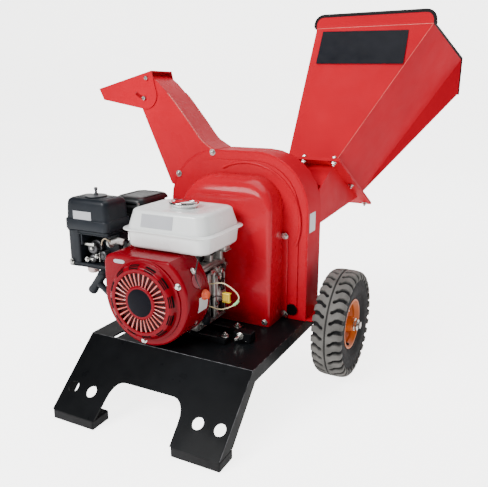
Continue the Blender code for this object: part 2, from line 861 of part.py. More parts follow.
def belt_drive():
    rotor_middle = (ROTOR_X, ROTOR_Z)
    crank_middle = (CRANK_X, CRANK_Z)
    pulley("rotor_pulley", rotor_middle, ROTOR_PULLEY_RADIUS, SHAFT_RADIUS + GAP, PULLEY_Y)
    pulley("engine_pulley", crank_middle, ENGINE_PULLEY_RADIUS, CRANK_RADIUS + GAP, PULLEY_Y)
    across = Vector(rotor_middle) - Vector(crank_middle)
    lean = math.degrees(math.atan2(across.y, across.x))
    open_angle = math.degrees(
        math.acos((ENGINE_PULLEY_RADIUS - ROTOR_PULLEY_RADIUS) / across.length)
    )

    def loop(extra):
        big = ROTOR_PULLEY_RADIUS - BELT_HEIGHT + extra
        small = ENGINE_PULLEY_RADIUS - BELT_HEIGHT + extra
        round_big = arc(rotor_middle, big, lean - open_angle, lean + open_angle, 15)
        round_small = arc(crank_middle, small, lean + open_angle, lean + 360 - open_angle, 13)
        return round_big + round_small

    for index, centre in enumerate(groove_centres()):
        low = centre - BELT_WIDTH / 2
        high = centre + BELT_WIDTH / 2
        clear = 0.0006
        belt = prism("belt_%d" % (index + 1), "XZ", low, high, loop(BELT_HEIGHT), [loop(clear)])
        finish(belt, "rubber")


# ---------------------------------------------------------------- engine


def crank_assembly():
    front = 0.010
    pivot = (CRANK_X, front, CRANK_Z)
    end = PULLEY_Y + PULLEY_WIDTH + 0.004
    finish(
        rod("crankshaft", (CRANK_X, front, CRANK_Z), (CRANK_X, end, CRANK_Z), CRANK_RADIUS),
        "bright_steel",
        pivot,
    )
    profile = [
        (CRANK_RADIUS + GAP, 0.004),
        (0.3 * FLYWHEEL_RADIUS, 0.004),
        (0.35 * FLYWHEEL_RADIUS, 0.014),
        (FLYWHEEL_RADIUS, 0.014),
        (FLYWHEEL_RADIUS, 0.040),
        (CRANK_RADIUS + GAP, 0.040),
    ]
    flywheel = turned("flywheel", (CRANK_X, front, CRANK_Z), (0, 1, 0), profile, 28)
    finish(flywheel, "cast_alloy", pivot)


def crankcase():
    left = CRANK_X - CRANKCASE_HALF_WIDTH
    right = CRANK_X + CRANKCASE_HALF_WIDTH
    case = block(
        "crankcase",
        (left, CRANKCASE_FRONT, ENGINE_Z),
        (right, CRANKCASE_BACK, CRANKCASE_TOP),
    )
    case = rounded(case, 0.010, 2)
    boss = rod(
        "boss",
        (CRANK_X, CRANKCASE_BACK - 0.01, CRANK_Z),
        (CRANK_X, CRANKCASE_BACK + PTO_LENGTH, CRANK_Z),
        PTO_RADIUS,
    )
    bore = rod(
        "bore",
        (CRANK_X, CRANKCASE_FRONT - 0.01, CRANK_Z),
        (CRANK_X, CRANKCASE_BACK + PTO_LENGTH + 0.01, CRANK_Z),
        CRANK_RADIUS + GAP,
    )
    stem = rod(
        "stem_hole",
        (right - 0.05, CRANKCASE_FRONT + 0.03, ENGINE_Z + 0.028),
        (right + 0.02, CRANKCASE_FRONT + 0.03, ENGINE_Z + 0.028),
        0.005 + GAP,
        16,
    )
    finish(cut(join(case, boss), bore, stem), "cast_alloy")
    dipstick = turned(
        "oil_dipstick",
        (right, CRANKCASE_FRONT + 0.03, ENGINE_Z + 0.028),
        (1, 0, 0),
        [(0.0, -0.045), (0.005, -0.045), (0.005, GAP), (0.014, GAP), (0.014, 0.012), (0.0, 0.016)],
        16,
    )
    finish(dipstick, "black_plastic", (right, CRANKCASE_FRONT + 0.03, ENGINE_Z + 0.028))


def cylinder():
    """Barrel and head with cooling fins, lying over to the left, and the valve cover."""
    ways = Matrix.Rotation(CYLINDER_TILT, 3, "Y")
    start = CRANKCASE_HALF_WIDTH - 0.012
    pitch = CYLINDER_LENGTH / FIN_COUNT
    half = CYLINDER_HEIGHT / 2
    upper = []
    for index in range(FIN_COUNT):
        foot = -start - pitch * index
        upper += [(foot, half), (foot - 0.4 * pitch, half)]
        if index < FIN_COUNT - 1:
            upper += [(foot - 0.4 * pitch, half - FIN_DEPTH), (foot - pitch, half - FIN_DEPTH)]
    lower = [(x, -z) for x, z in reversed(upper)]
    low = CRANKCASE_BACK - 0.004 - CYLINDER_WIDTH
    high = CRANKCASE_BACK - 0.004
    outline = upper + lower
    far = upper[-1][0]
    shapes = [("cylinder", outline, "cast_alloy")]
    cover = [
        (far - GAP, 0.8 * half),
        (far - 0.7 * HEAD_COVER_LENGTH, 0.8 * half),
        (far - HEAD_COVER_LENGTH, 0.6 * half),
        (far - HEAD_COVER_LENGTH, -0.6 * half),
        (far - 0.7 * HEAD_COVER_LENGTH, -0.8 * half),
        (far - GAP, -0.8 * half),
    ]
    shapes.append(("head_cover", cover, "red_engine"))
    for name, points, slot in shapes:
        made = prism(name, "XZ", low, high, points)
        made.data.transform(Matrix.Translation((CRANK_X, 0, CRANK_Z)) @ ways.to_4x4())
        if name == "cylinder":
            left = CRANK_X - CRANKCASE_HALF_WIDTH
            clear = block(
                "clear",
                (left - GAP, low - 0.01, CRANK_Z - 0.1),
                (left + 0.1, high + 0.01, CRANK_Z + 0.2),
            )
            made = cut(made, clear)
        finish(made, slot)
    middle_y = (low + high) / 2
    along = Vector((-math.cos(CYLINDER_TILT), 0, math.sin(CYLINDER_TILT)))
    tip = Vector((CRANK_X, middle_y, CRANK_Z)) + along * (-far + HEAD_COVER_LENGTH + GAP)
    plug = rod("spark_plug", tip, tip + along * 0.040, 0.010, 16)
    finish(plug, "black_plastic")
    neck = Vector((CRANK_X, middle_y, CRANK_Z)) + along * (-far - 0.018)
    return neck + Vector((math.sin(CYLINDER_TILT), 0, math.cos(CYLINDER_TILT))) * half


def shroud_outline(inset):
    """A circle round the fan with a shoulder over the cylinder at its upper left."""
    radius = SHROUD_RADIUS - inset
    left = SHROUD_LEFT + inset
    top = TANK_BOTTOM - 0.0035 - inset
    corner = 0.024
    middle_z = CRANK_Z + SHROUD_RISE
    rise = math.degrees(math.asin(min((top - middle_z) / radius, 0.85)))
    round_part = arc((CRANK_X, middle_z), radius, rise, -180, 20)
    shoulder = arc((left + corner, top - corner), corner, 180, 90, 5)
    return round_part + [(left, CRANK_Z + 0.01)] + shoulder + [(round_part[0][0] - 0.004, top)]


def fan_shroud():
    shroud = prism("fan_shroud", "XZ", SHROUD_FRONT, SHROUD_BACK, shroud_outline(0.0))
    inside = prism(
        "inside",
        "XZ",
        SHROUD_FRONT + SHROUD_SHEET,
        SHROUD_BACK + 0.01,
        shroud_outline(SHROUD_SHEET),
    )
    fan = rod(
        "fan",
        (CRANK_X, SHROUD_FRONT - 0.01, CRANK_Z),
        (CRANK_X, SHROUD_FRONT + 0.01, CRANK_Z),
        FAN_HOLE_RADIUS,
        32,
    )
    finish(cut(shroud, inside, fan), "red_engine")
    outer = RECOIL_RADIUS
    sheet = SHROUD_SHEET
    profile = [
        (outer, GAP),
        (outer, RECOIL_FLANGE),
        (0.95 * outer, RECOIL_FLANGE),
        (0.87 * outer, 0.74 * RECOIL_DEPTH),
        (0.76 * outer, 0.90 * RECOIL_DEPTH),
        (0.36 * outer, RECOIL_DEPTH),
        (0.0, RECOIL_DEPTH),
        (0.0, RECOIL_DEPTH - sheet),
        (0.36 * outer, RECOIL_DEPTH - sheet),
        (0.76 * outer, 0.90 * RECOIL_DEPTH - sheet),
        (0.86 * outer, 0.74 * RECOIL_DEPTH - sheet),
        (0.93 * outer, GAP),
    ]
    recoil = turned("recoil_cover", (CRANK_X, SHROUD_FRONT, CRANK_Z), (0, -1, 0), profile, 32)
    finish(recoil, "red_engine")


def starter_handle():
    pull = Vector(PULL_WAY)
    cross = Vector((-pull.z, 0.0, pull.x)).normalized() * HANDLE_HALF_LENGTH
    clear = (HANDLE_STEM_RADIUS * pull.z + GAP) / -pull.x
    seat = Vector((SHROUD_LEFT, HANDLE_Y, CRANK_Z + HANDLE_DROP)) + pull * clear
    centre = seat + pull * HANDLE_STEM
    stem = rod("starter_handle", seat, centre, HANDLE_STEM_RADIUS, 12, 0.008)
    bar = rod("bar", centre - cross, centre + cross, HANDLE_RADIUS, 14)
    finish(join(stem, bar), "black_plastic", seat)


def fuel_tank():
    def plan(side, end, corner):
        left = TANK_LEFT - side
        right = TANK_RIGHT + side
        front = TANK_FRONT - end
        back = TANK_FRONT + TANK_LENGTH + end
        return (
            arc((right - corner, back - corner), corner, 0, 90, 5)
            + arc((left + corner, back - corner), corner, 90, 180, 5)
            + arc((left + corner, front + corner), corner, 180, 270, 5)
            + arc((right - corner, front + corner), corner, 270, 360, 5)
        )

    rings = [
        (TANK_BOTTOM, plan(-TANK_BOTTOM_DRAFT, -TANK_BOTTOM_DRAFT, TANK_CORNER)),
        (TANK_SEAM, plan(0.0, 0.0, TANK_CORNER)),
        (TANK_TOP, plan(-TANK_TOP_DRAFT, -TANK_TOP_DRAFT, TANK_CORNER)),
    ]
    tank = rounded(lofted("fuel_tank", rings), TANK_EDGE, 2, 60)
    seam = prism(
        "seam",
        "XY",
        TANK_SEAM - SEAM_THICKNESS / 2,
        TANK_SEAM + SEAM_THICKNESS / 2,
        plan(SEAM_LIP_SIDE, SEAM_LIP, TANK_CORNER + SEAM_LIP),
    )
    neck = rod(
        "neck",
        (CAP_X, CAP_Y, TANK_TOP - 0.01),
        (CAP_X, CAP_Y, TANK_TOP + NECK_HEIGHT),
        0.8 * CAP_RADIUS,
    )
    finish(join(tank, seam, neck), "white_paint")
    base = TANK_TOP + NECK_HEIGHT + GAP
    cap_profile = [
        (0.0, 0.0),
        (CAP_RADIUS, 0.0),
        (CAP_RADIUS, 0.7 * CAP_HEIGHT),
        (0.9 * CAP_RADIUS, CAP_HEIGHT),
        (0.0, CAP_HEIGHT),
    ]
    cap = turned("fuel_cap", (CAP_X, CAP_Y, base), (0, 0, 1), cap_profile, 24)
    finish(cap, "chrome", (CAP_X, CAP_Y, base))
    bracket_low = CRANKCASE_TOP + GAP
    bracket = block(
        "tank_bracket",
        (CRANK_X - 0.060, CRANKCASE_FRONT + 0.01, bracket_low),
        (CRANK_X + 0.060, CRANKCASE_FRONT + 0.10, TANK_BOTTOM - GAP),
    )
    gap = block(
        "gap",
        (CRANK_X - 0.057, CRANKCASE_FRONT, bracket_low + 0.003),
        (CRANK_X + 0.057, CRANKCASE_FRONT + 0.11, TANK_BOTTOM - GAP - 0.003),
    )
    finish(cut(bracket, gap), "dark_steel")


def intake_and_exhaust(exhaust_seat):
    left = CLEANER_LEFT
    right = left + CLEANER_WIDTH
    front = CLEANER_FRONT
    back = front + CLEANER_LENGTH
    case = block(
        "air_cleaner_case",
        (left + CASE_INSET, front + CASE_INSET, CLEANER_BOTTOM),
        (right - CASE_INSET, back - CASE_INSET, CLEANER_SPLIT),
    )
    case = rounded(case, 0.008, 2)
    cup = rod(
        "cup",
        (left + 0.045, front + 0.05, CLEANER_BOTTOM - 0.026),
        (left + 0.045, front + 0.05, CLEANER_BOTTOM + 0.01),
        CUP_RADIUS,
        20,
    )
    finish(join(case, cup), "black_plastic")
    cover = block(
        "air_cleaner_cover", (left, front, CLEANER_SPLIT + GAP), (right, back, CLEANER_TOP)
    )
    finish(rounded(cover, 0.014, 2), "black_plastic")
    knob_at = (left + CLEANER_WIDTH / 2, front + CLEANER_LENGTH / 2, CLEANER_TOP + GAP)
    knob_profile = [
        (0.0, 0.0),
        (0.028, 0.0),
        (0.028, 0.003),
        (0.006, 0.005),
        (0.006, 0.024),
        (0.0, 0.024),
    ]
    knob = turned("air_cleaner_knob", knob_at, (0, 0, 1), knob_profile, 20)
    finish(knob, "bright_steel", knob_at)
    cylinder_front = CRANKCASE_BACK - 0.004 - CYLINDER_WIDTH
    carb = block(
        "carburettor",
        (right - CASE_INSET + GAP, SHROUD_BACK + 0.004, CRANK_Z + 0.046),
        (CRANK_X - 0.094, cylinder_front - GAP, CRANK_Z + 0.095),
    )
    finish(rounded(carb, 0.004, 1), "cast_alloy")
    pivots = (("choke_lever", 0.076, 1), ("fuel_lever", 0.058, -1))
    for name, height, way in pivots:
        pivot = Vector(
            (right - CASE_INSET + GAP + 0.012, SHROUD_BACK + 0.004 - GAP, CRANK_Z + height)
        )
        plate = pill((pivot.x, pivot.z + way * 0.013), 0.009, 0.035)
        lever = prism(name, "XZ", pivot.y - 0.0025, pivot.y, plate)
        finish(lever, "black_plastic", pivot)
    muffler = block(
        "muffler",
        (MUFFLER_LEFT, MUFFLER_FRONT, MUFFLER_BOTTOM),
        (MUFFLER_LEFT + MUFFLER_WIDTH, MUFFLER_FRONT + MUFFLER_LENGTH, MUFFLER_TOP),
    )
    muffler = rounded(muffler, 0.010, 2)
    pipe = rod(
        "pipe",
        exhaust_seat + Vector((0, 0, 0.0042)),
        (exhaust_seat.x, exhaust_seat.y, MUFFLER_BOTTOM + 0.01),
        0.014,
        16,
    )
    finish(join(muffler, pipe), "black_paint")


def controls():
    base_z = CRANKCASE_TOP + GAP
    base = block(
        "control_base",
        (CRANK_X + 0.005, CRANKCASE_FRONT + 0.103, base_z),
        (CRANK_X + 0.075, CRANKCASE_BACK - 0.003, base_z + 0.006),
    )
    finish(base, "dark_steel")
    pivot = Vector((CRANK_X + 0.040, CRANKCASE_BACK - 0.014, base_z + 0.006 + GAP))
    outline = [(pivot.x + v + 0.022, pivot.y - u) for u, v in pill((0.0, 0.0), 0.012, 0.060)]
    lever = prism("throttle_lever", "XY", pivot.z, pivot.z + 0.004, outline)
    finish(lever, "black_plastic", pivot)
    seat_x = CRANK_X + SHROUD_RADIUS + GAP
    seat = (seat_x, 0.060, CRANK_Z + 0.012)
    profile = [
        (0.0, 0.0),
        (0.013, 0.0),
        (0.013, 0.006),
        (0.009, 0.008),
        (0.009, 0.013),
        (0.0, 0.013),
    ]
    knob = turned("engine_switch", seat, (1, 0, 0), profile, 16)
    finish(knob, "red_plastic", seat)


def wires():
    """Two short free wires on the engine's right side."""
    sensor = [
        (0.0356, 0.105, 0.252),
        (0.0620, 0.105, 0.249),
        (0.0850, 0.105, 0.246),
        (0.1060, 0.105, 0.252),
        (0.1250, 0.105, 0.263),
        (0.1380, 0.106, 0.277),
        (0.1360, 0.107, 0.292),
        (0.1180, 0.108, 0.305),
        (0.0960, 0.109, 0.313),
        (0.0750, 0.110, 0.310),
        (0.0560, 0.110, 0.305),
        (0.0370, 0.110, 0.305),
    ]
    finish(tube("sensor_wire", sensor, 0.0016), "wire_yellow")
    switch = [
        (0.0700, 0.045, 0.3150),
        (0.0680, 0.040, 0.3250),
        (0.0640, 0.038, 0.3360),
        (0.0600, 0.040, 0.3480),
        (0.0580, 0.046, 0.3600),
        (0.0560, 0.054, 0.3700),
        (0.0540, 0.062, 0.3800),
        (0.0520, 0.068, 0.3896),
    ]
    finish(tube("switch_wire", switch, 0.0016), "wire_black")


def mount_rails():
    for name, middle in zip(("rail_front", "rail_rear"), RAIL_YS):
        rail = block(
            name,
            (RAIL_ENDS[0], middle - RAIL_WIDTH / 2, FLOOR_Z),
            (RAIL_ENDS[1], middle + RAIL_WIDTH / 2, RAIL_TOP),
        )
        finish(rounded(rail, 0.002, 1), "black_paint")
    bracket = block(
        "tension_bracket",
        (RAIL_ENDS[1] + 0.004, 0.118, FLOOR_Z),
        (RAIL_ENDS[1] + 0.052, 0.148, FLOOR_Z + 0.026),
    )
    finish(rounded(bracket, 0.002, 1), "black_paint")


# ---------------------------------------------------------------- discharge


def clamp_point():
    return (
        PIVOT[0] + CLAMP_RADIUS * math.cos(CLAMP_ANGLE),
        PIVOT[1] + CLAMP_RADIUS * math.sin(CLAMP_ANGLE),
    )


def discharge_chute():
    ear = arc(PIVOT, PIVOT_EAR, 180, 60, 7)
    middle = (CASING_LEFT + CASING_CORNER, CASING_TOP - CASING_CORNER)
    outline = [CHUTE_FOOT, CHUTE_LEFT_TOP, *ear, *chute_right_wall(), middle]
    chute = prism("discharge_chute", "XZ", CASING_FRONT_Y, CASING_BACK_Y, outline)
    passage = prism(
        "passage",
        "XZ",
        CASING_FRONT_Y + CHUTE_SHEET,
        CASING_BACK_Y - CHUTE_SHEET,
        chute_passage(),
    )
    casing = prism("casing", "XZ", CASING_FRONT_Y - 0.01, CASING_BACK_Y + 0.01, casing_outline(-GAP))
    holes = []
    for x, z in (PIVOT, clamp_point()):
        holes.append(
            rod(
                "hole",
                (x, CASING_FRONT_Y - 0.02, z),
                (x, CASING_BACK_Y + 0.02, z),
                BOLT_RADIUS + GAP,
                12,
            )
        )
    finish(cut(chute, passage, casing, *holes), "red_paint")


def deflector():
    """A hood over the chute's mouth: two cheeks and a roof, turning on the upper bolt."""
    inner_front = CASING_FRONT_Y - GAP
    inner_back = CASING_BACK_Y + GAP
    sheet = CHUTE_SHEET
    lobe = arc((-0.264, 0.752), 0.039, -95, 25, 8)
    cheek = [(-0.427, 0.768), (-0.411, 0.737), (-0.279, 0.7145), *lobe, (-0.240, 0.8165)]
    hood = prism("deflector", "XZ", inner_front - sheet, inner_back + sheet, cheek)
    roof = Vector((-0.427 + 0.240, 0.768 - 0.8165)).normalized()
    down = Vector((roof.y, -roof.x)) if roof.x > 0 else Vector((-roof.y, roof.x))
    start = Vector((-0.240, 0.8165)) + down * sheet - roof * 0.06
    end = Vector((-0.427, 0.768)) + down * sheet + roof * 0.06
    hollow = [
        tuple(start),
        tuple(end),
        tuple(end + Vector((0.0, -0.3))),
        tuple(start + Vector((0.0, -0.3))),
    ]
    inside = prism("inside", "XZ", inner_front, inner_back, hollow)
    pivot_hole = rod(
        "hole",
        (PIVOT[0], inner_front - 0.02, PIVOT[1]),
        (PIVOT[0], inner_back + 0.02, PIVOT[1]),
        BOLT_RADIUS + GAP,
        12,
    )
    width = 2 * (BOLT_RADIUS + 0.0006)
    clamp = math.degrees(CLAMP_ANGLE)
    outer = arc(PIVOT, CLAMP_RADIUS + width / 2, clamp - 34, clamp + 8, 12)
    inner = arc(PIVOT, CLAMP_RADIUS - width / 2, clamp + 8, clamp - 34, 12)
    slot = prism("slot", "XZ", inner_front - 0.02, inner_back + 0.02, outer + inner)
    seat = (PIVOT[0], (inner_front + inner_back) / 2, PIVOT[1])
    finish(cut(hood, inside, pivot_hole, slot), "red_paint", seat)


def chute_bolts():
    front = CASING_FRONT_Y - GAP - CHUTE_SHEET - GAP
    back = CASING_BACK_Y + GAP + CHUTE_SHEET + GAP
    for name, (x, z) in (("pivot_bolt", PIVOT), ("clamp_bolt", clamp_point())):
        head = BOLT_HEAD
        shank = rod(name, (x, front - head / 2, z), (x, back + head / 2, z), BOLT_RADIUS, 12)
        near = rod("head", (x, front - head, z), (x, front, z), BOLT_HEAD_RADIUS, 6)
        far = rod("nut", (x, back, z), (x, back + head, z), BOLT_HEAD_RADIUS, 6)
        finish(join(shank, near, far), "bright_steel")


# ---------------------------------------------------------------- feed


def flange_frame():
    """Down-slope unit vector of the flange joint and its normal, in the YZ plane."""
    down = (Vector(FLANGE_LOW) - Vector(FLANGE_TOP)).normalized()
    return down, Vector((-down.y, down.x))


def flange(name, low, high):
    """A rectangular flange plate between two heights above the joint plane."""
    down, up = flange_frame()
    top = Vector(FLANGE_TOP) - down * FLANGE_TOP_MARGIN
    bottom = Vector(FLANGE_LOW) + down * FLANGE_LOW_MARGIN
    outline = [
        tuple(top + up * low),
        tuple(bottom + up * low),
        tuple(bottom + up * high),
        tuple(top + up * high),
    ]
    return prism(name, "YZ", FEED_LEFT - FLANGE_MARGIN, FEED_RIGHT + FLANGE_MARGIN, outline)


def feed_neck():
    start = CASING_BACK_Y + GAP
    up = flange_frame()[1]
    top = Vector(FLANGE_TOP) - up * GAP / 2
    low = Vector(FLANGE_LOW) - up * GAP / 2
    outline = [(start, FEED_SILL), tuple(low), tuple(top), (start, FEED_LINTEL)]
    neck = prism("feed_neck", "YZ", FEED_LEFT, FEED_RIGHT, outline)
    neck = join(neck, flange("flange", -FLANGE_SHEET, -GAP / 2))
    sheet = FEED_SHEET
    inner_top = Vector(FLANGE_TOP) + Vector((1.0, -0.9)) * sheet
    inner_low = Vector(FLANGE_LOW) + Vector((-1.5, 1.0)) * sheet
    way_up = up * 0.02
    inner = [
        (start - 0.01, FEED_SILL + sheet),
        tuple(inner_low - up * FLANGE_SHEET),
        tuple(inner_low + way_up),
        tuple(inner_top + way_up),
        tuple(inner_top - up * FLANGE_SHEET),
        (start - 0.01, FEED_LINTEL - sheet),
    ]
    inside = prism("inside", "YZ", FEED_LEFT + sheet, FEED_RIGHT - sheet, inner)
    finish(cut(neck, inside), "red_paint")


def side_plane():
    """A point on the hopper's flared side wall and its outward normal."""
    corner = Vector((FEED_RIGHT, *FLANGE_TOP))
    foot = Vector((FEED_RIGHT, *FLANGE_LOW))
    mouth = Vector((MOUTH_TOP_RIGHT, *MOUTH_TOP))
    return foot, (foot - corner).cross(mouth - corner).normalized()


def mouth_back_right():
    """How far right the side wall reaches where the mouth's sloping edge meets its back."""
    foot, normal = side_plane()
    offset = Vector((0.0, *MOUTH_BACK_HIGH)) - foot
    return -normal.dot(offset) / normal.x


def clipped(name, planes):
    """What is left of a large block behind every one of the planes."""
    bm = bmesh.new()
    bmesh.ops.create_cube(bm, size=4.0)
    for point, normal in planes:
        geometry = bm.verts[:] + bm.edges[:] + bm.faces[:]
        bmesh.ops.bisect_plane(
            bm, geom=geometry, dist=0.000001, plane_co=point, plane_no=normal, clear_outer=True
        )
        bmesh.ops.holes_fill(bm, edges=[edge for edge in bm.edges if edge.is_boundary])
    return solid(name, bm)


def in_plan(point):
    return Vector((0.0, *point))


def hopper_body(name, inset, overrun, floor):
    """The funnel as a solid: walls moved in by an inset, openings moved out by an overrun."""
    up = flange_frame()[1]
    front = (Vector(MOUTH_TOP) - Vector(FLANGE_TOP)).normalized()
    back = (Vector(MOUTH_BACK_LOW) - Vector(FLANGE_LOW)).normalized()
    top = (Vector(MOUTH_BACK_HIGH) - Vector(MOUTH_TOP)).normalized()
    walls = [
        (Vector((FEED_LEFT, 0.0, 0.0)), Vector((-1.0, 0.0, 0.0))),
        (in_plan(FLANGE_TOP), Vector((0.0, -front.y, front.x))),
        (in_plan(FLANGE_LOW), Vector((0.0, back.y, -back.x))),
    ]
    openings = [
        (in_plan(MOUTH_TOP), Vector((0.0, -top.y, top.x))),
        (in_plan(MOUTH_BACK_LOW), Vector((0.0, 1.0, 0.0))),
    ]
    planes = [(point - normal * inset, normal) for point, normal in walls]
    planes += [(point + normal * overrun, normal) for point, normal in openings]
    joint = in_plan(FLANGE_TOP) + Vector((0.0, up.x, up.y)) * floor
    planes.append((joint, Vector((0.0, -up.x, -up.y))))
    foot, side = side_plane()
    reach = Vector((mouth_back_right(), *MOUTH_BACK_HIGH)) - foot
    fold = Vector((reach.y, -reach.x, 0.0)).normalized()
    outside = [(foot - side * inset, -side), (foot - fold * inset, -fold)]
    return cut(clipped(name, planes), clipped("outside", outside))


def hopper():
    """A sheet funnel from the flange to the wide mouth, with a lip along its front edge."""
    sheet = FEED_SHEET
    funnel = hopper_body("hopper", 0.0, 0.0, GAP / 2)
    plate = flange("flange", GAP / 2, FLANGE_SHEET)
    lip_low = MOUTH_TOP[1] - 0.004
    lip_high = MOUTH_TOP[1] + LIP_HEIGHT
    left = FEED_LEFT
    lip_outline = [
        (left, lip_low),
        (MOUTH_TOP_RIGHT, lip_low),
        *arc((MOUTH_TOP_RIGHT - LIP_CORNER, lip_high - LIP_CORNER), LIP_CORNER, 0, 90, 6),
        *arc((left + LIP_CORNER, lip_high - LIP_CORNER), LIP_CORNER, 90, 180, 6),
    ]
    lip = prism("lip", "XZ", MOUTH_TOP[0] - 0.0005, MOUTH_TOP[0] + FEED_SHEET, lip_outline)
    funnel = join(funnel, plate)
    inside = hopper_body("inside", sheet, 2 * sheet, -sheet)
    finish(join(cut(funnel, inside), lip), "red_paint")


def hopper_trim():
    """Rubber edging that follows the mouth's edge, a hair clear of the sheet."""
    away = TRIM_RADIUS + 0.0008
    lip_high = MOUTH_TOP[1] + LIP_HEIGHT
    y = MOUTH_TOP[0] + FEED_SHEET / 2
    corner = LIP_CORNER
    right = MOUTH_TOP_RIGHT
    left = FEED_LEFT
    back_right = mouth_back_right()
    outer_right = arc((right - corner, lip_high - corner), corner + away, 0, 90, 6)
    outer_left = arc((left + corner, lip_high - corner), corner + away, 90, 180, 6)
    side = (Vector(MOUTH_BACK_HIGH) - Vector(MOUTH_TOP)).normalized()
    up = Vector((-side.y, side.x)) * away
    start = Vector(MOUTH_TOP) + side * 0.024 + up
    turn = Vector(MOUTH_TOP) + side * 0.010 + up
    high = (MOUTH_BACK_HIGH[0] + away, MOUTH_BACK_HIGH[1] + up.y)
    low = (MOUTH_BACK_LOW[0] + away, MOUTH_BACK_LOW[1])
    inner = left + FEED_SHEET / 2
    path = [(x, y, z) for x, z in outer_right + outer_left]
    path += [(left - away, y, turn.y + 0.004), (left - away, *turn)]
    path += [(inner, *start), (inner, *high), (inner, *low)]
    path += [(back_right, *low), (back_right, *high), (right, *start)]
    path += [(right + away, *turn), (right + away, y, turn.y + 0.004)]
    finish(tube("hopper_trim", path, TRIM_RADIUS, cyclic=True), "rubber")


def centre_footprint():
    """Moves the carrying empty so that the origin is the middle of the footprint."""
    bpy.context.view_layer.update()
    corners = [
        obj.matrix_world @ Vector(corner)
        for obj in parts.objects
        if obj.type == "MESH"
        for corner in obj.bound_box
    ]
    for axis in (0, 1):
        values = [corner[axis] for corner in corners]
        origin.location[axis] = -(min(values) + max(values)) / 2
    bpy.context.view_layer.update()


base_frame()
feet()
wheels()
rotor_casing()
casing_front()
rotor()
belt_cover()
belt_drive()
crank_assembly()
crankcase()
EXHAUST_SEAT = cylinder()
fan_shroud()
starter_handle()
fuel_tank()
intake_and_exhaust(EXHAUST_SEAT)
controls()
wires()
mount_rails()
discharge_chute()
deflector()
chute_bolts()
feed_neck()
hopper()
hopper_trim()
centre_footprint()
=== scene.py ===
"""Looks of the wood chipper, laid over its fixed frame."""
import math

import bpy
import bmesh
import numpy as np
from bpy.props import FloatProperty, FloatVectorProperty, IntProperty, PointerProperty
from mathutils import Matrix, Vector


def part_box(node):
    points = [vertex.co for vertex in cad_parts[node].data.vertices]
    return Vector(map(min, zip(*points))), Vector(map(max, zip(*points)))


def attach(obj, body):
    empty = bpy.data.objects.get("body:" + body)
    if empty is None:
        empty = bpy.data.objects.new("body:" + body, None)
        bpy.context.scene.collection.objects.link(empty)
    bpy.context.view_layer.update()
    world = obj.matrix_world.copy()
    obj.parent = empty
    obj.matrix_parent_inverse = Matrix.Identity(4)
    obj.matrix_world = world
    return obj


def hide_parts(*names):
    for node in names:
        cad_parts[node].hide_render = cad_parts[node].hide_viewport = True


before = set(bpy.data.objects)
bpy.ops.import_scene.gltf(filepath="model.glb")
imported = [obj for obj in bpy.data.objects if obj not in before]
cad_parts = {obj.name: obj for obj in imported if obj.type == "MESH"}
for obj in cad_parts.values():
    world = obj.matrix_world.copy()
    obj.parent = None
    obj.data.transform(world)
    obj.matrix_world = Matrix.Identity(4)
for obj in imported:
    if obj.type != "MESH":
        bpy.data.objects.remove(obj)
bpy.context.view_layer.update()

bl_info = {
    "name": "Wood chipper looks",
    "version": (1, 0, 0),
    "blender": (4, 5, 0),
    "location": "3D View > Sidebar > Chipper",
    "description": "Detailed surfaces and finishes for the wood chipper",
    "category": "Object",
}

MM = 0.001
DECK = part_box("base_frame")
MIDDLE_X = (DECK[0][0] + DECK[1][0]) / 2
DECK_FRONT = DECK[0][1] + 154 * MM
ORIGIN = np.array([MIDDLE_X, DECK_FRONT, 0.0])
LEFT, RIGHT, FRONT, BACK, UP = (-1, 0, 0), (1, 0, 0), (0, -1, 0), (0, 1, 0), (0, 0, 1)


def placed(points):
    """Points in millimetres from the middle of the deck's front edge, as metres in the frame."""
    return np.asarray(points) * MM + ORIGIN


def at(x, y, z):
    """One such place."""
    return placed((x, y, z))


def local(node):
    """The lowest and highest corner of a frame node, in the same millimetres as at()."""
    low, high = (np.array(corner, float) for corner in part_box(node))
    return (low - ORIGIN) / MM, (high - ORIGIN) / MM


# ---------------------------------------------------------------- surfaces


def square_to(axis):
    """Two unit vectors square to an axis and to each other, then the axis itself."""
    along = np.asarray(axis, float)
    along = along / np.linalg.norm(along)
    other = np.array([0.0, 0.0, 1.0]) if abs(along[2]) < 0.9 else np.array([1.0, 0.0, 0.0])
    across = np.cross(other, along)
    across /= np.linalg.norm(across)
    return across, np.cross(along, across), along


def turned(centre, axis, profile, steps=32, ripple=None):
    """Point = centre + radius (cos t u + sin t v) + height w, for each profile (radius, height).

    ripple, if given, is a function of (t, profile index) added to the radius.
    """
    across, up, along = square_to(axis)
    rim = np.asarray(profile, float) * MM
    turn = np.linspace(0, 2 * np.pi, steps, endpoint=False)[:, None]
    radius = rim[None, :, 0] + np.zeros_like(turn)
    if ripple is not None:
        radius = radius + ripple(turn, np.arange(len(rim))[None, :]) * MM
    flat = np.cos(turn)[..., None] * across + np.sin(turn)[..., None] * up
    points = np.asarray(centre) + radius[..., None] * flat + rim[None, :, 1, None] * along
    return points, True, False


def stub(radius, shoulder, top_radius, height):
    """Profile of a short round bar whose top edge is turned off above its shoulder."""
    return [(0, 0), (radius, 0), (radius, shoulder), (top_radius, height), (0, height)]


def plan(left, front, right, back, corner, level, count=6):
    """A rounded rectangle at one level: four quarter circles joined by straight sides."""
    quarter = np.linspace(0, np.pi / 2, count)
    corners = (
        (right - corner, back - corner, 0.0),
        (left + corner, back - corner, 0.5),
        (left + corner, front + corner, 1.0),
        (right - corner, front + corner, 1.5),
    )
    rows = [
        np.stack(
            [
                x + corner * np.cos(quarter + start * np.pi),
                y + corner * np.sin(quarter + start * np.pi),
                np.full(count, level),
            ],
            1,
        )
        for x, y, start in corners
    ]
    return np.concatenate(rows)


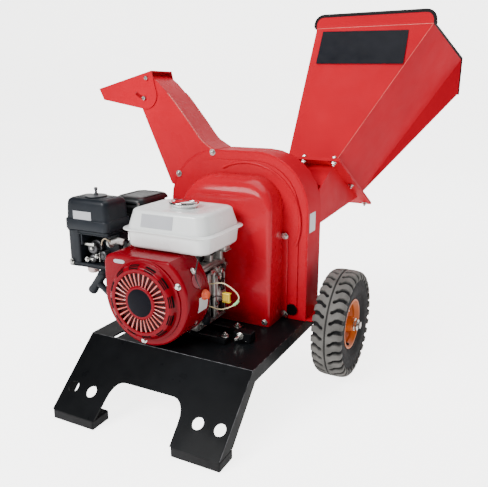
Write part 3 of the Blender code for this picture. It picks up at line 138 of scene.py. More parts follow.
def lofted(rings, closed=False):
    """Rings of equally many points joined in order; open ends are drawn in to their middles."""
    rows = [np.asarray(ring, float) for ring in rings]
    if not closed:
        first = np.repeat(rows[0].mean(0)[None], len(rows[0]), 0)
        last = np.repeat(rows[-1].mean(0)[None], len(rows[0]), 0)
        held = 0.965
        rows = [first, first + (rows[0] - first) * held] + rows
        rows += [last + (rows[-1] - last) * held, last]
    return np.stack(rows), closed, True


def inset(outline, distance):
    """An outline (x, z), counter-clockwise, moved in square to itself by a distance."""
    shape = np.asarray(outline, float)
    run = np.roll(shape, -1, 0) - np.roll(shape, 1, 0)
    run /= np.linalg.norm(run, axis=1)[:, None]
    return shape - distance * np.stack([run[:, 1], -run[:, 0]], 1)


def upright(outline, depth):
    """An outline (x, z) set up at one depth y, in the frame."""
    shape = np.asarray(outline, float)
    return placed(np.stack([shape[:, 0], np.full(len(shape), depth), shape[:, 1]], 1))


def circle(x, z, radius, turn):
    """Point = (x + radius cos t, z + radius sin t) for each turn t."""
    return np.stack([x + radius * np.cos(turn), z + radius * np.sin(turn)], 1)


def strip(rows):
    """A bar whose section is one point from each row; its ends are drawn in to their middles."""
    grid = np.stack(rows, 1)
    first = np.repeat(grid[:1].mean(1, keepdims=True), len(rows), 1)
    last = np.repeat(grid[-1:].mean(1, keepdims=True), len(rows), 1)
    return np.concatenate([first, grid, last]), False, True


def level_rings(box, rows, count=6):
    """Rings of a box's plan at heights: each row is (height, inset, corner radius)."""
    left, front, right, back = box
    rings = [
        plan(left + inset_, front + inset_, right - inset_, back - inset_, corner, height, count)
        for height, inset_, corner in rows
    ]
    return [placed(ring) for ring in rings]


def rounded_rows(low, high, edge, corner, steps=4):
    """Rows for level_rings: quarter-round edges at the bottom and the top of a box."""
    turn = np.linspace(0, np.pi / 2, steps + 1)
    lower = [(low + edge * (1 - math.sin(t)), edge * (1 - math.cos(t)), corner) for t in turn]
    upper = [
        (high - edge * (1 - math.sin(t)), edge * (1 - math.cos(t)), corner) for t in turn[::-1]]
    return [(z, i, max(c - i * 0.5, 0.5)) for z, i, c in lower + upper]


def cushion(low, high, edge, corner=None, steps=3):
    """A box with all its edges rounded, from its two corners in local millimetres."""
    corner = edge if corner is None else corner
    rows = rounded_rows(low[2], high[2], edge, corner, steps)
    return lofted(level_rings((low[0], low[1], high[0], high[1]), rows, 5))


def swept(path, radius, sides=8, ripple=0.0, pitch=1.0, flat=1.0):
    """A round section carried along a path; radius times 1 + ripple cos(2 pi s / pitch)."""
    line = np.asarray(path, float)
    run = np.gradient(line, axis=0)
    run /= np.linalg.norm(run, axis=1)[:, None]
    side = np.cross(run, np.array([0.13, 0.21, 0.97]))
    side /= np.linalg.norm(side, axis=1)[:, None]
    lift = np.cross(side, run)
    steps = np.linalg.norm(np.diff(line, axis=0), axis=1)
    length = np.concatenate([[0.0], np.cumsum(steps)])
    size = radius * MM * (1 + ripple * np.cos(2 * np.pi * length / (pitch * MM)))
    turn = np.linspace(0, 2 * np.pi, sides, endpoint=False)
    ring = np.cos(turn)[
        None, :, None] * side[:, None] + flat * np.sin(turn)[None, :, None] * lift[:, None]
    points = line[:, None] + size[:, None, None] * ring
    first = np.repeat(line[:1, None], sides, 1)
    last = np.repeat(line[-1:, None], sides, 1)
    return np.concatenate([first, points, last]), False, True


def between(start, end, pitch):
    """Points in a straight line a pitch apart, both ends included."""
    a, b = np.asarray(start, float), np.asarray(end, float)
    count = max(int(np.linalg.norm(b - a) / (pitch * MM)), 2)
    return a + (b - a) * np.linspace(0, 1, count + 1)[:, None]


def curved(points, count):
    """A smooth line through points: each stretch is a cubic with the slope of its neighbours."""
    knots = np.asarray(points, float)
    slope = np.gradient(knots, axis=0)
    place = np.linspace(0, len(knots) - 1, count)
    index = np.minimum(place.astype(int), len(knots) - 2)
    t = (place - index)[:, None]
    return (
        (2 * t**3 - 3 * t**2 + 1) * knots[index]
        + (t**3 - 2 * t**2 + t) * slope[index]
        + (-2 * t**3 + 3 * t**2) * knots[index + 1]
        + (t**3 - t**2) * slope[index + 1]
    )


def sheet(corners, thickness, normal, steps=4, lift=0.3):
    """A thin plate on four corners: bilinear front and back, joined by a folded-down edge.

    Point = (1-u)(1-v) A + u (1-v) B + u v C + (1-u) v D, raised along the normal by the
    thickness inside the outermost ring.
    """
    a, b, c, d = (np.asarray(p, float) for p in corners)
    out = np.asarray(normal, float)
    out = out / np.linalg.norm(out) * MM

    def blended(share, height):
        u, v = share[:, None, None], share[None, :, None]
        flat = (1 - u) * (1 - v) * a + u * (1 - v) * b + u * v * c + (1 - u) * v * d
        return flat + height[..., None] * out

    plain = np.linspace(0, 1, steps + 1)
    folded = np.concatenate([[0.0], plain, [1.0]])
    height = np.full((steps + 3, steps + 3), lift + thickness)
    height[0] = height[-1] = height[:, 0] = height[:, -1] = lift
    back = np.full((steps + 1, steps + 1), lift)
    return [(blended(folded, height), False, False), (blended(plain, back), False, False)]


def hexagon(centre, axis, across, height, turn=0.0):
    """A six-sided head with its top corners turned off, standing on its centre."""
    side = across / math.sqrt(3)
    profile = [(0.0, 0.0), (side, 0.0), (side, height * 0.8), (side * 0.84, height), (0.0, height)]
    return turned(centre, axis, profile, 6)


def bolt(centre, axis, across=10.0, height=4.5, washer=True, stud=0.0):
    """A hexagon head on a washer, with a thread end if stud is set."""
    out = np.asarray(axis, float) / np.linalg.norm(axis)
    base = np.asarray(centre, float)
    made = []
    lift = 0.0
    if washer:
        rim = across * 0.82
        made.append(turned(base, out, stub(rim, 1.0, rim * 0.96, 1.3), 20))
        lift = 1.2
    made.append(hexagon(base + out * lift * MM, out, across, height))
    if stud:
        thread = across * 0.3
        top = lift + height
        made.append(
            turned(
                base, out,
                [
                    (0, top - 1), (thread, top - 1), (thread, top + stud),
                    (thread * 0.7, top + stud + 1), (0, top + stud + 1)],
                12)
        )
    return made


def piece(name, surfaces, coat, body="chassis", slot="", sharp=35.0, stands_for=(), marks=None):
    """One object from grids of points: grid (rows, columns), wrapped where it closes on itself.

    coat names a row of FINISHES, whose finish the piece takes; the slot of that row, or slot if
    set here, is worked out but not given to the piece. marks, if given, is one number a point,
    kept as the attribute tread.
    """
    places, faces, start = [], [], 0
    for points, wrap_rows, wrap_columns in surfaces:
        rows, columns = points.shape[:2]
        index = np.arange(rows * columns).reshape(rows, columns) + start
        down = np.vstack([index, index[:1]]) if wrap_rows else index
        grid = np.hstack([down, down[:, :1]]) if wrap_columns else down
        quads = np.stack([grid[:-1, :-1], grid[1:, :-1], grid[1:, 1:], grid[:-1, 1:]], -1)
        faces.append(quads.reshape(-1, 4))
        places.append(points.reshape(-1, 3))
        start += rows * columns
    mesh = bpy.data.meshes.new(name)
    mesh.from_pydata(np.concatenate(places).tolist(), [], np.concatenate(faces).tolist())
    if marks is not None:
        layer = mesh.attributes.new("tread", "FLOAT", "POINT")
        layer.data.foreach_set("value", np.asarray(marks, float).ravel())
    work = bmesh.new()
    work.from_mesh(mesh)
    bmesh.ops.remove_doubles(work, verts=work.verts, dist=0.000004)
    bmesh.ops.recalc_face_normals(work, faces=work.faces)
    work.to_mesh(mesh)
    work.free()
    mesh.polygons.foreach_set("use_smooth", np.ones(len(mesh.polygons), bool))
    mesh.set_sharp_from_angle(angle=math.radians(sharp))
    made = bpy.data.objects.new(name, mesh)
    bpy.context.scene.collection.objects.link(made)
    made.data.materials.append(paint(coat))
    if stands_for:
        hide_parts(*stands_for)
    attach(made, body)
    slot = slot or FINISHES[coat][0]
    return made


def soften(node):
    """Joins a frame node's loose triangles and smooths them, except over sharp edges."""
    group = bpy.data.node_groups.get("smooth_by_angle")
    if group is None:
        group = bpy.data.node_groups.new("smooth_by_angle", "GeometryNodeTree")
        group.interface.new_socket("Geometry", in_out="INPUT", socket_type="NodeSocketGeometry")
        group.interface.new_socket("Geometry", in_out="OUTPUT", socket_type="NodeSocketGeometry")
        nodes, links = group.nodes, group.links
        source = nodes.new("NodeGroupInput")
        weld = nodes.new("GeometryNodeMergeByDistance")
        weld.inputs["Distance"].default_value = 0.00001
        angle = nodes.new("GeometryNodeInputMeshEdgeAngle")
        under = nodes.new("FunctionNodeCompare")
        under.operation = "LESS_THAN"
        under.inputs[1].default_value = math.radians(30)
        edges = nodes.new("GeometryNodeSetShadeSmooth")
        edges.domain = "EDGE"
        shade = nodes.new("GeometryNodeSetShadeSmooth")
        result = nodes.new("NodeGroupOutput")
        links.new(source.outputs[0], weld.inputs["Geometry"])
        links.new(weld.outputs["Geometry"], shade.inputs["Geometry"])
        links.new(shade.outputs["Geometry"], edges.inputs["Geometry"])
        links.new(angle.outputs["Unsigned Angle"], under.inputs[0])
        links.new(under.outputs["Result"], edges.inputs["Shade Smooth"])
        links.new(edges.outputs["Geometry"], result.inputs[0])
    node.modifiers.new("smooth", "NODES").node_group = group


# ---------------------------------------------------------------- finishes


def finish(name, colour, rough=0.4, metal=0.0, coat=0.0, speck=60.0, vary=0.12, grain=900.0,
           bump=0.02, depth=0.2, dust=0.0, wear=0.0, worn=(0.5, 0.5, 0.5), shine=0.5,
           mark=None):
    """A shader whose colour, roughness and relief wander with layered noise in object space.

    Colour = base times (1 +- vary noise), dusted on faces that look up, with scratches
    to a worn colour where a fine noise passes a threshold set by wear. mark, if given, is
    (attribute, colour): the surface takes that colour where the attribute is nought.
    """
    found = bpy.data.materials.get(name)
    if found:
        return found
    made = bpy.data.materials.new(name)
    made.use_nodes = True
    made.diffuse_color = (*colour, 1.0)
    nodes, links = made.node_tree.nodes, made.node_tree.links
    nodes.clear()
    out = nodes.new("ShaderNodeOutputMaterial")
    shader = nodes.new("ShaderNodeBsdfPrincipled")
    links.new(shader.outputs[0], out.inputs[0])
    shader.inputs["Metallic"].default_value = metal
    shader.inputs["Coat Weight"].default_value = coat
    shader.inputs["Coat Roughness"].default_value = 0.08
    shader.inputs["Specular IOR Level"].default_value = shine
    place = nodes.new("ShaderNodeTexCoord")

    def noise(scale, detail=4.0):
        texture = nodes.new("ShaderNodeTexNoise")
        texture.inputs["Scale"].default_value = scale
        texture.inputs["Detail"].default_value = detail
        links.new(place.outputs["Object"], texture.inputs["Vector"])
        return texture.outputs["Fac"]

    def ranged(value, low, high, to_low, to_high):
        scaled = nodes.new("ShaderNodeMapRange")
        for index, number in enumerate((low, high, to_low, to_high)):
            scaled.inputs[index + 1].default_value = number
        links.new(value, scaled.inputs[0])
        return scaled.outputs[0]

    def mixed(share, first, second):
        mix = nodes.new("ShaderNodeMix")
        mix.data_type = "RGBA"
        links.new(share, mix.inputs["Factor"])
        for socket, value in ((mix.inputs[6], first), (mix.inputs[7], second)):
            if isinstance(value, tuple):
                socket.default_value = (*value, 1.0)
            else:
                links.new(value, socket)
        return mix.outputs[2]

    dark = tuple(max(c * (1 - vary), 0.0) for c in colour)
    light = tuple(min(c * (1 + vary), 1.0) for c in colour)
    tint = mixed(ranged(noise(speck * 0.2), 0.3, 0.7, 0.0, 1.0), dark, light)
    if dust:
        facing = nodes.new("ShaderNodeNewGeometry")
        parts = nodes.new("ShaderNodeSeparateXYZ")
        links.new(facing.outputs["Normal"], parts.inputs[0])
        up = ranged(parts.outputs["Z"], 0.2, 1.0, 0.0, dust)
        blotch = nodes.new("ShaderNodeMath")
        blotch.operation = "MULTIPLY"
        links.new(up, blotch.inputs[0])
        links.new(ranged(noise(speck * 0.6), 0.35, 0.65, 0.35, 1.0), blotch.inputs[1])
        tint = mixed(blotch.outputs[0], tint, (0.30, 0.27, 0.24))
    if wear:
        scratch = ranged(noise(speck * 4, 8.0), 0.70 - wear, 0.74 - wear, 0.0, 1.0)
        tint = mixed(scratch, tint, worn)
    if mark:
        layer = nodes.new("ShaderNodeAttribute")
        layer.attribute_name = mark[0]
        tint = mixed(layer.outputs["Fac"], mark[1], tint)
    links.new(tint, shader.inputs["Base Color"])
    links.new(
        ranged(noise(speck), 0.3, 0.7, max(rough - 0.06, 0.03), min(rough + 0.08, 1.0)),
        shader.inputs["Roughness"],
    )
    relief = nodes.new("ShaderNodeBump")
    relief.inputs["Strength"].default_value = bump
    relief.inputs["Distance"].default_value = depth * MM
    links.new(noise(grain, 3.0), relief.inputs["Height"])
    links.new(relief.outputs[0], shader.inputs["Normal"])
    return made


FINISHES = {  # name: (slot, colour, roughness, the rest of what finish takes)
    "gloss_red_enamel": ("red_paint", "sheet_red", 0.28, dict(coat=0.03, speck=26, vary=0.10,
        grain=420, bump=0.10, depth=0.25, shine=0.10)),
    "polished_red_enamel": ("red_paint", "sheet_red", 0.26, dict(coat=0.22, speck=18, vary=0.10,
        grain=60, bump=0.22, depth=1.2, shine=0.12)),
    "satin_red_enamel": (None, "sheet_red", 0.40, dict(speck=26, vary=0.08, grain=420, bump=0.08,
        depth=0.25, shine=0.02)),
    "engine_red_enamel": ("red_engine", "engine_red", 0.20, dict(coat=0.05, speck=40, vary=0.08,
        grain=500, bump=0.05, shine=0.12)),
    "black_enamel": (None, "stand_black", 0.32, dict(coat=0.02, speck=30, vary=0.35, grain=700,
        bump=0.16, shine=0.05)),
    "black_moulding": ("black_plastic", "moulding_black", 0.40, dict(speck=50, vary=0.2,
        grain=1500, bump=0.22, depth=0.15, shine=0.25)),
    "zinc_plate": ("bright_steel", (0.66, 0.66, 0.63), 0.26, dict(metal=1.0, speck=160, vary=0.18,
        bump=0.05)),
    "cast_alloy_skin": ("cast_alloy", (0.50, 0.49, 0.47), 0.46, dict(metal=0.85, speck=120,
        vary=0.2, grain=1300, bump=0.5, depth=0.3)),
    "chrome_plate": ("chrome", (0.80, 0.80, 0.80), 0.10, dict(metal=1.0, speck=60, vary=0.05,
        bump=0.02)),
    "oiled_steel": ("dark_steel", (0.09, 0.09, 0.095), 0.38, dict(metal=0.8, speck=90, vary=0.25,
        bump=0.1)),
    "black_rubber": ("rubber", (0.007, 0.007, 0.008), 0.60, dict(speck=60, vary=0.3, grain=1400,
        bump=0.3, shine=0.2)),
    "shadow_black": ("dark_steel", (0.003, 0.003, 0.003), 0.8, dict(speck=60, vary=0.2, bump=0.1,
        shine=0.05)),
    "bare_plate_grey": ("white_paint", (0.46, 0.47, 0.50), 0.35, dict(speck=50, vary=0.04,
        bump=0.03)),
    "cream_insulation": (None, (0.78, 0.66, 0.40), 0.3, dict(coat=0.3, speck=300, vary=0.08,
        bump=0.05)),
    "black_insulation": (None, (0.02, 0.02, 0.02), 0.3, dict(coat=0.3, speck=300, vary=0.2,
        bump=0.05)),
    "green_sleeve": (None, (0.30, 0.72, 0.30), 0.25, dict(coat=0.4, speck=200, vary=0.1,
        bump=0.05)),
    "amber_block": (None, (0.72, 0.50, 0.03), 0.35, dict(coat=0.2, speck=200, vary=0.1,
        bump=0.08)),
    "dusty_tyre_rubber": ("tyre_rubber", "tyre_grey", 0.78, dict(speck=90, vary=0.30, grain=1100,
        bump=0.5, depth=0.5, shine=0.25, mark=("tread", (0.008, 0.008, 0.009)))),
    "orange_enamel": ("orange_paint", "rim_orange", 0.34, dict(coat=0.1, speck=40, vary=0.2,
        grain=500, bump=0.08, shine=0.2)),
    # Lighter than the engine red: a painted highlight where the raised ribs catch the light; the
    # gloss is the coat's.
    "polished_rib_red": ("red_engine", (0.62, 0.10, 0.08), 0.14, dict(coat=0.9, speck=200,
        vary=0.15, bump=0.05, shine=0.8)),
    "bare_round_badge": ("black_plastic", (0.004, 0.004, 0.007), 0.34, dict(shine=0.06, speck=60,
        vary=0.2, bump=0.04)),
    "orange_switch_moulding": ("red_plastic", (0.80, 0.10, 0.03), 0.35, dict(speck=80, vary=0.1,
        bump=0.08)),
    "dull_rose_plate": ("red_plastic", (0.24, 0.045, 0.055), 0.4, dict(speck=60, vary=0.08,
        bump=0.05)),
    "tank_enamel": ("white_paint", "tank_white", 0.22, dict(coat=0.6, speck=22, vary=0.04,
        grain=420, bump=0.06)),
    "dark_knob_moulding": ("black_plastic", (0.06, 0.065, 0.07), 0.36, dict(speck=80, vary=0.2,
        bump=0.1)),
    "sediment_cup_alloy": ("cast_alloy", (0.55, 0.44, 0.42), 0.35, dict(metal=0.7, speck=80,
        vary=0.1, bump=0.1)),
    "heat_black_enamel": ("black_paint", (0.010, 0.011, 0.013), 0.36, dict(coat=0.1, speck=70,
        vary=0.5, grain=900, bump=0.35, depth=0.3, dust=0.02, shine=0.3)),
    "bare_black_plate": ("black_plastic", (0.010, 0.011, 0.015), 0.34, dict(shine=0.12, speck=50,
        vary=0.2, bump=0.04)),
    "shaded_red": ("dark_steel", (0.05, 0.002, 0.003), 0.6, dict(speck=60, vary=0.3, bump=0.1,
        shine=0.2)),
    "bare_white_label": ("white_paint", (0.72, 0.72, 0.74), 0.35, dict(speck=50, vary=0.04,
        bump=0.03)),
    "tan_rod": ("bright_steel", (0.45, 0.36, 0.26), 0.4, dict(metal=0.6, speck=80, vary=0.1,
        bump=0.1)),
    "bare_silver_label": ("white_paint", (0.50, 0.50, 0.52), 0.35, dict(metal=0.5, speck=50,
        vary=0.05, bump=0.03)),
    "weld_bead_red": ("red_paint", (0.62, 0.10, 0.09), 0.24, dict(coat=0.3, speck=220, vary=0.3,
        bump=0.1)),
    # A lighter red for the hopper's folds: a painted highlight along the bent edges.
    "worn_red_edge": ("red_paint", (0.75, 0.10, 0.09), 0.22, dict(coat=0.4, speck=90, vary=0.2,
        bump=0.05)),
    "lip_rubber": ("rubber", (0.008, 0.008, 0.009), 0.5, dict(speck=60, vary=0.25, grain=700,
        bump=0.15, shine=0.25)),
    # Dark steel for thin strips along the edges of the stand and the rails.
    "scuffed_edge_steel": ("bright_steel", (0.085, 0.085, 0.09), 0.45, dict(metal=0.8, speck=140,
        vary=0.5, bump=0.15)),
    # Near-black for the crankcase's recesses: painted shade.
    "oily_shadow": ("dark_steel", (0.020, 0.019, 0.018), 0.45, dict(speck=70, vary=0.5, bump=0.2)),
}


def paint(name):
    """The finish of that name; a colour given by name is one of those set in the sidebar."""
    colour, rough, more = FINISHES[name][1:]
    if isinstance(colour, str):
        colour = tuple(getattr(bpy.context.scene.chipper_colours, colour))
    return finish(name, colour, rough, **more)


# ---------------------------------------------------------------- settings


def tint(name, description, default):
    """A colour that can be set in the sidebar."""
    return FloatVectorProperty(
        name=name, description=description, default=default, min=0, max=1, subtype="COLOR")


class ChipperColours(bpy.types.PropertyGroup):
    sheet_red: tint(
        "Sheet metal red", "Enamel of the casing, chute and hopper", (0.52, 0.004, 0.018))
    engine_red: tint(
        "Engine red", "Enamel of the fan shroud and recoil cover", (0.205, 0.0006, 0.007))
    stand_black: tint(
        "Stand black", "Enamel of the stand and the muffler", (0.0045, 0.0050, 0.0058))
    tank_white: tint("Tank white", "Enamel of the fuel tank", (0.90, 0.93, 0.92))
    moulding_black: tint(
        "Moulding black", "Plastic of the air cleaner and the handle", (0.009, 0.012, 0.017))
    rim_orange: tint("Rim orange", "Enamel of the wheel rims", (0.60, 0.13, 0.015))
    tyre_grey: tint("Tyre grey", "Dusty rubber of the treads", (0.135, 0.130, 0.122))


class ChipperSizes(bpy.types.PropertyGroup):
    lugs: IntProperty(name="Tread lugs", description="Lugs round each tyre", default=32, min=12)
    lug_depth: FloatProperty(
        name="Lug depth", description="Depth of the tread in millimetres", default=8.0, min=1)
    ribs: IntProperty(
        name="Recoil ribs", description="Ribs of the air intake ring", default=32, min=8)
    bead: FloatProperty(
        name="Weld bead", description="Radius of a weld bead in millimetres", default=1.6, min=0.5)
    bolt: FloatProperty(
        name="Bolt head", description="Width across a bolt head in millimetres",
        default=11.0, min=4)


class ChipperStage(bpy.types.PropertyGroup):
    lens: FloatProperty(name="Lens", description="Focal length in millimetres", default=42.32)
    azimuth: FloatProperty(
        name="Azimuth", description="Turn of the camera about the vertical",
        default=math.radians(27.1), subtype="ANGLE")
    drop: FloatProperty(
        name="Look down", description="Angle of the camera below the horizon",
        default=math.radians(15.0), subtype="ANGLE")
    floor: tint("Floor", "Colour of the studio floor", (0.92, 0.915, 0.905))
    glow: FloatProperty(
        name="Floor glow", description="Light the floor and the backdrop give off",
        default=1.9, min=0)
    air: FloatProperty(
        name="Room light", description="Strength of the even light of the room",
        default=0.08, min=0)


# ---------------------------------------------------------------- pieces


class CHIPPER_OT_stage(bpy.types.Operator):
    """Camera, floor, backdrop and soft studio lights"""

    bl_idname = "chipper.stage"
    bl_label = "Stage"
    camera_place = (739.0, -1038.7, 765.3)
    glow_on_object, glow_of_floor, glow_beyond = 0.5, 2.3, 2.7  # shares of the set glow
    lights = (  # name, place, target, size, power
        ("key_light", (-1.3, -3.8, 3.0), (0.0, 0.0, 0.5), 2.2, 275.0),
        ("fill_light", (3.4, -2.0, 2.2), (0.0, 0.0, 0.4), 3.0, 6.0),
        ("top_light", (0.2, 0.4, 4.2), (0.0, 0.0, 0.4), 3.2, 115.0),
        ("back_light", (1.6, 3.6, 2.6), (0.0, 0.0, 0.5), 2.4, 10.0),
    )

    def execute(self, context):
        stage = context.scene.chipper_stage
        view = bpy.data.cameras.new("studio_camera")
        view.lens = stage.lens
        view.clip_end = 60.0
        holder = bpy.data.objects.new("studio_camera", view)
        holder.location = at(*self.camera_place)
        holder.rotation_euler = (math.pi / 2 - stage.drop, 0.0, stage.azimuth)
        context.scene.collection.objects.link(holder)
        context.scene.camera = holder

        shade = bpy.data.materials.new("studio_floor")
        shade.use_nodes = True
        coat = shade.node_tree.nodes["Principled BSDF"]
        coat.inputs["Base Color"].default_value = (*stage.floor, 1)
        coat.inputs["Roughness"].default_value = 0.9
        coat.inputs["Emission Color"].default_value = (*stage.floor, 1)
        seen, step = (
            shade.node_tree.nodes.new(kind)
            for kind in ("ShaderNodeLightPath", "ShaderNodeMapRange"))
        step.inputs["To Min"].default_value = stage.glow * self.glow_on_object
        step.inputs["To Max"].default_value = stage.glow * self.glow_of_floor
        shade.node_tree.links.new(seen.outputs["Is Camera Ray"], step.inputs["Value"])
        shade.node_tree.links.new(step.outputs["Result"], coat.inputs["Emission Strength"])
        across = np.linspace(-14, 14, 15)
        rise = np.array(
            [[-9.0, 0.0], [7.0, 0.0], [8.2, 0.25], [8.9, 0.9], [9.2, 2.0], [9.2, 12.0]])
        grid = np.stack(
            [
                np.broadcast_to(across[:, None], (15, 6)),
                np.broadcast_to(rise[None, :, 0], (15, 6)),
                np.broadcast_to(rise[None, :, 1] - 0.0002, (15, 6)),
            ],
            -1,
        )
        index = np.arange(90).reshape(15, 6)
        quads = np.stack([index[:-1, :-1], index[1:, :-1], index[1:, 1:], index[:-1, 1:]], -1)
        mesh = bpy.data.meshes.new("studio_floor")
        mesh.from_pydata(grid.reshape(-1, 3).tolist(), [], quads.reshape(-1, 4).tolist())
        mesh.polygons.foreach_set("use_smooth", np.ones(len(mesh.polygons), bool))
        floor = bpy.data.objects.new("studio_floor", mesh)
        floor.data.materials.append(shade)
        context.scene.collection.objects.link(floor)

        for name, place, target, size, power in self.lights:
            lamp = bpy.data.lights.new(name, "AREA")
            lamp.shape = "SQUARE"
            lamp.size = size
            lamp.energy = power
            light = bpy.data.objects.new(name, lamp)
            light.location = place
            way = Vector(target) - Vector(place)
            light.rotation_euler = way.to_track_quat("-Z", "Y").to_euler()
            context.scene.collection.objects.link(light)
        world = bpy.data.worlds.new("studio_air")
        world.use_nodes = True
        nodes, links = world.node_tree.nodes, world.node_tree.links
        dim = nodes["Background"]
        dim.inputs[0].default_value = (0.95, 0.95, 0.96, 1)
        dim.inputs[1].default_value = stage.air
        pale = nodes.new("ShaderNodeBackground")
        pale.inputs[0].default_value = (*stage.floor, 1)
        pale.inputs[1].default_value = stage.glow * self.glow_beyond
        seen, both = nodes.new("ShaderNodeLightPath"), nodes.new("ShaderNodeMixShader")
        links.new(seen.outputs["Is Camera Ray"], both.inputs[0])
        links.new(dim.outputs[0], both.inputs[1])
        links.new(pale.outputs[0], both.inputs[2])
        links.new(both.outputs[0], nodes["World Output"].inputs[0])
        context.scene.world = world
        return {"FINISHED"}


class CHIPPER_OT_wires(bpy.types.Operator):
    """The two free wires on the engine, with their connector sleeve and plug block"""

    bl_idname = "chipper.wires"
    bl_label = "Wires"

    sensor_route = (
        (35.6, 105, 252), (62.0, 105, 249), (85.0, 105, 246), (106.0, 105, 252), (125.0, 105, 263),
        (138.0, 106, 277), (136.0, 107, 292), (118.0, 108, 305), (96.0, 109, 313),
        (75.0, 110, 310),
        (56.0, 110, 305), (37.0, 110, 305),
    )
    switch_route = (
        (70.0, 45, 315), (68.0, 40, 325), (64.0, 38, 336), (60.0, 40, 348), (58.0, 46, 360),
        (56.0, 54, 370), (54.0, 62, 380), (52.0, 68, 389.6),
    )

    def execute(self, context):
        cream = paint("cream_insulation")
        black = paint("black_insulation")
        sensor = curved([at(*p) for p in self.sensor_route], 36)
        switch = curved([at(*p) for p in self.switch_route], 24)
        near = sensor[13:17]
        sleeve = piece("sensor_sleeve", [swept(curved(near, 12), 3.4, 14)], "green_sleeve")
        block = piece(
            "sensor_block",
            [cushion((96, 98.5, 268), (118, 111.5, 292), 2.5, 3.0)] + [
                cushion((99 + 5 * k, 96.9, 272), (102 + 5 * k, 99.0, 288), 0.6, 0.7)
                for k in range(3)],
            "amber_block")
        for name, route, coat, parts_, width in (
            ("sensor_lead", sensor, cream, [sleeve, block], 3.2),
            ("switch_lead", switch, black, [], 3.2),
        ):
            line = bpy.data.curves.new(name, "CURVE")
            line.dimensions = "3D"
            line.bevel_depth = width / 2 * MM
            line.bevel_resolution = 4
            line.use_fill_caps = True
            spline = line.splines.new("POLY")
            spline.points.add(len(route) - 1)
            spline.points.foreach_set("co", np.hstack([route, np.ones((len(route), 1))]).ravel())
            spline.use_smooth = True
            lead = bpy.data.objects.new(name, line)
            lead.data.materials.append(coat)
            context.scene.collection.objects.link(lead)
            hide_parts(name.replace("_lead", "_wire"))
            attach(lead, "chassis")
        return {"FINISHED"}


class CHIPPER_OT_finishes(bpy.types.Operator):
    """Finishes on the frame's own pieces"""

    bl_idname = "chipper.finishes"
    bl_label = "Finishes"

    def execute(self, context):
        coats = {
            "gloss_red_enamel": ("casing_front", "discharge_chute", "deflector"),
            "satin_red_enamel": ("rotor_casing", "feed_neck", "hopper"),
            "black_enamel": ("base_frame", "rail_front", "rail_rear", "tension_bracket"),
            "black_rubber": ("foot_left", "foot_right", "belt_1", "belt_2", "hopper_trim"),
            "zinc_plate": ("axle", "rotor_shaft", "knife_1", "knife_2", "bed_knife", "crankshaft"),
            "oiled_steel": (
                "rotor_disc", "rotor_pulley", "engine_pulley", "tank_bracket", "control_base"),
            "cast_alloy_skin": (
                "bearing_front", "bearing_rear", "flywheel", "cylinder", "carburettor", "crankcase"
            ),
            "engine_red_enamel": ("head_cover",),
            "black_moulding": (
                "choke_lever", "fuel_lever", "throttle_lever", "oil_dipstick", "spark_plug"),
        }
        for coat, names in coats.items():
            for name in names:
                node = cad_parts[name]
                if not node.material_slots:
                    raise RuntimeError(name + " has no material slot")
                node.material_slots[0].material = paint(coat)
                soften(node)
        return {"FINISHED"}


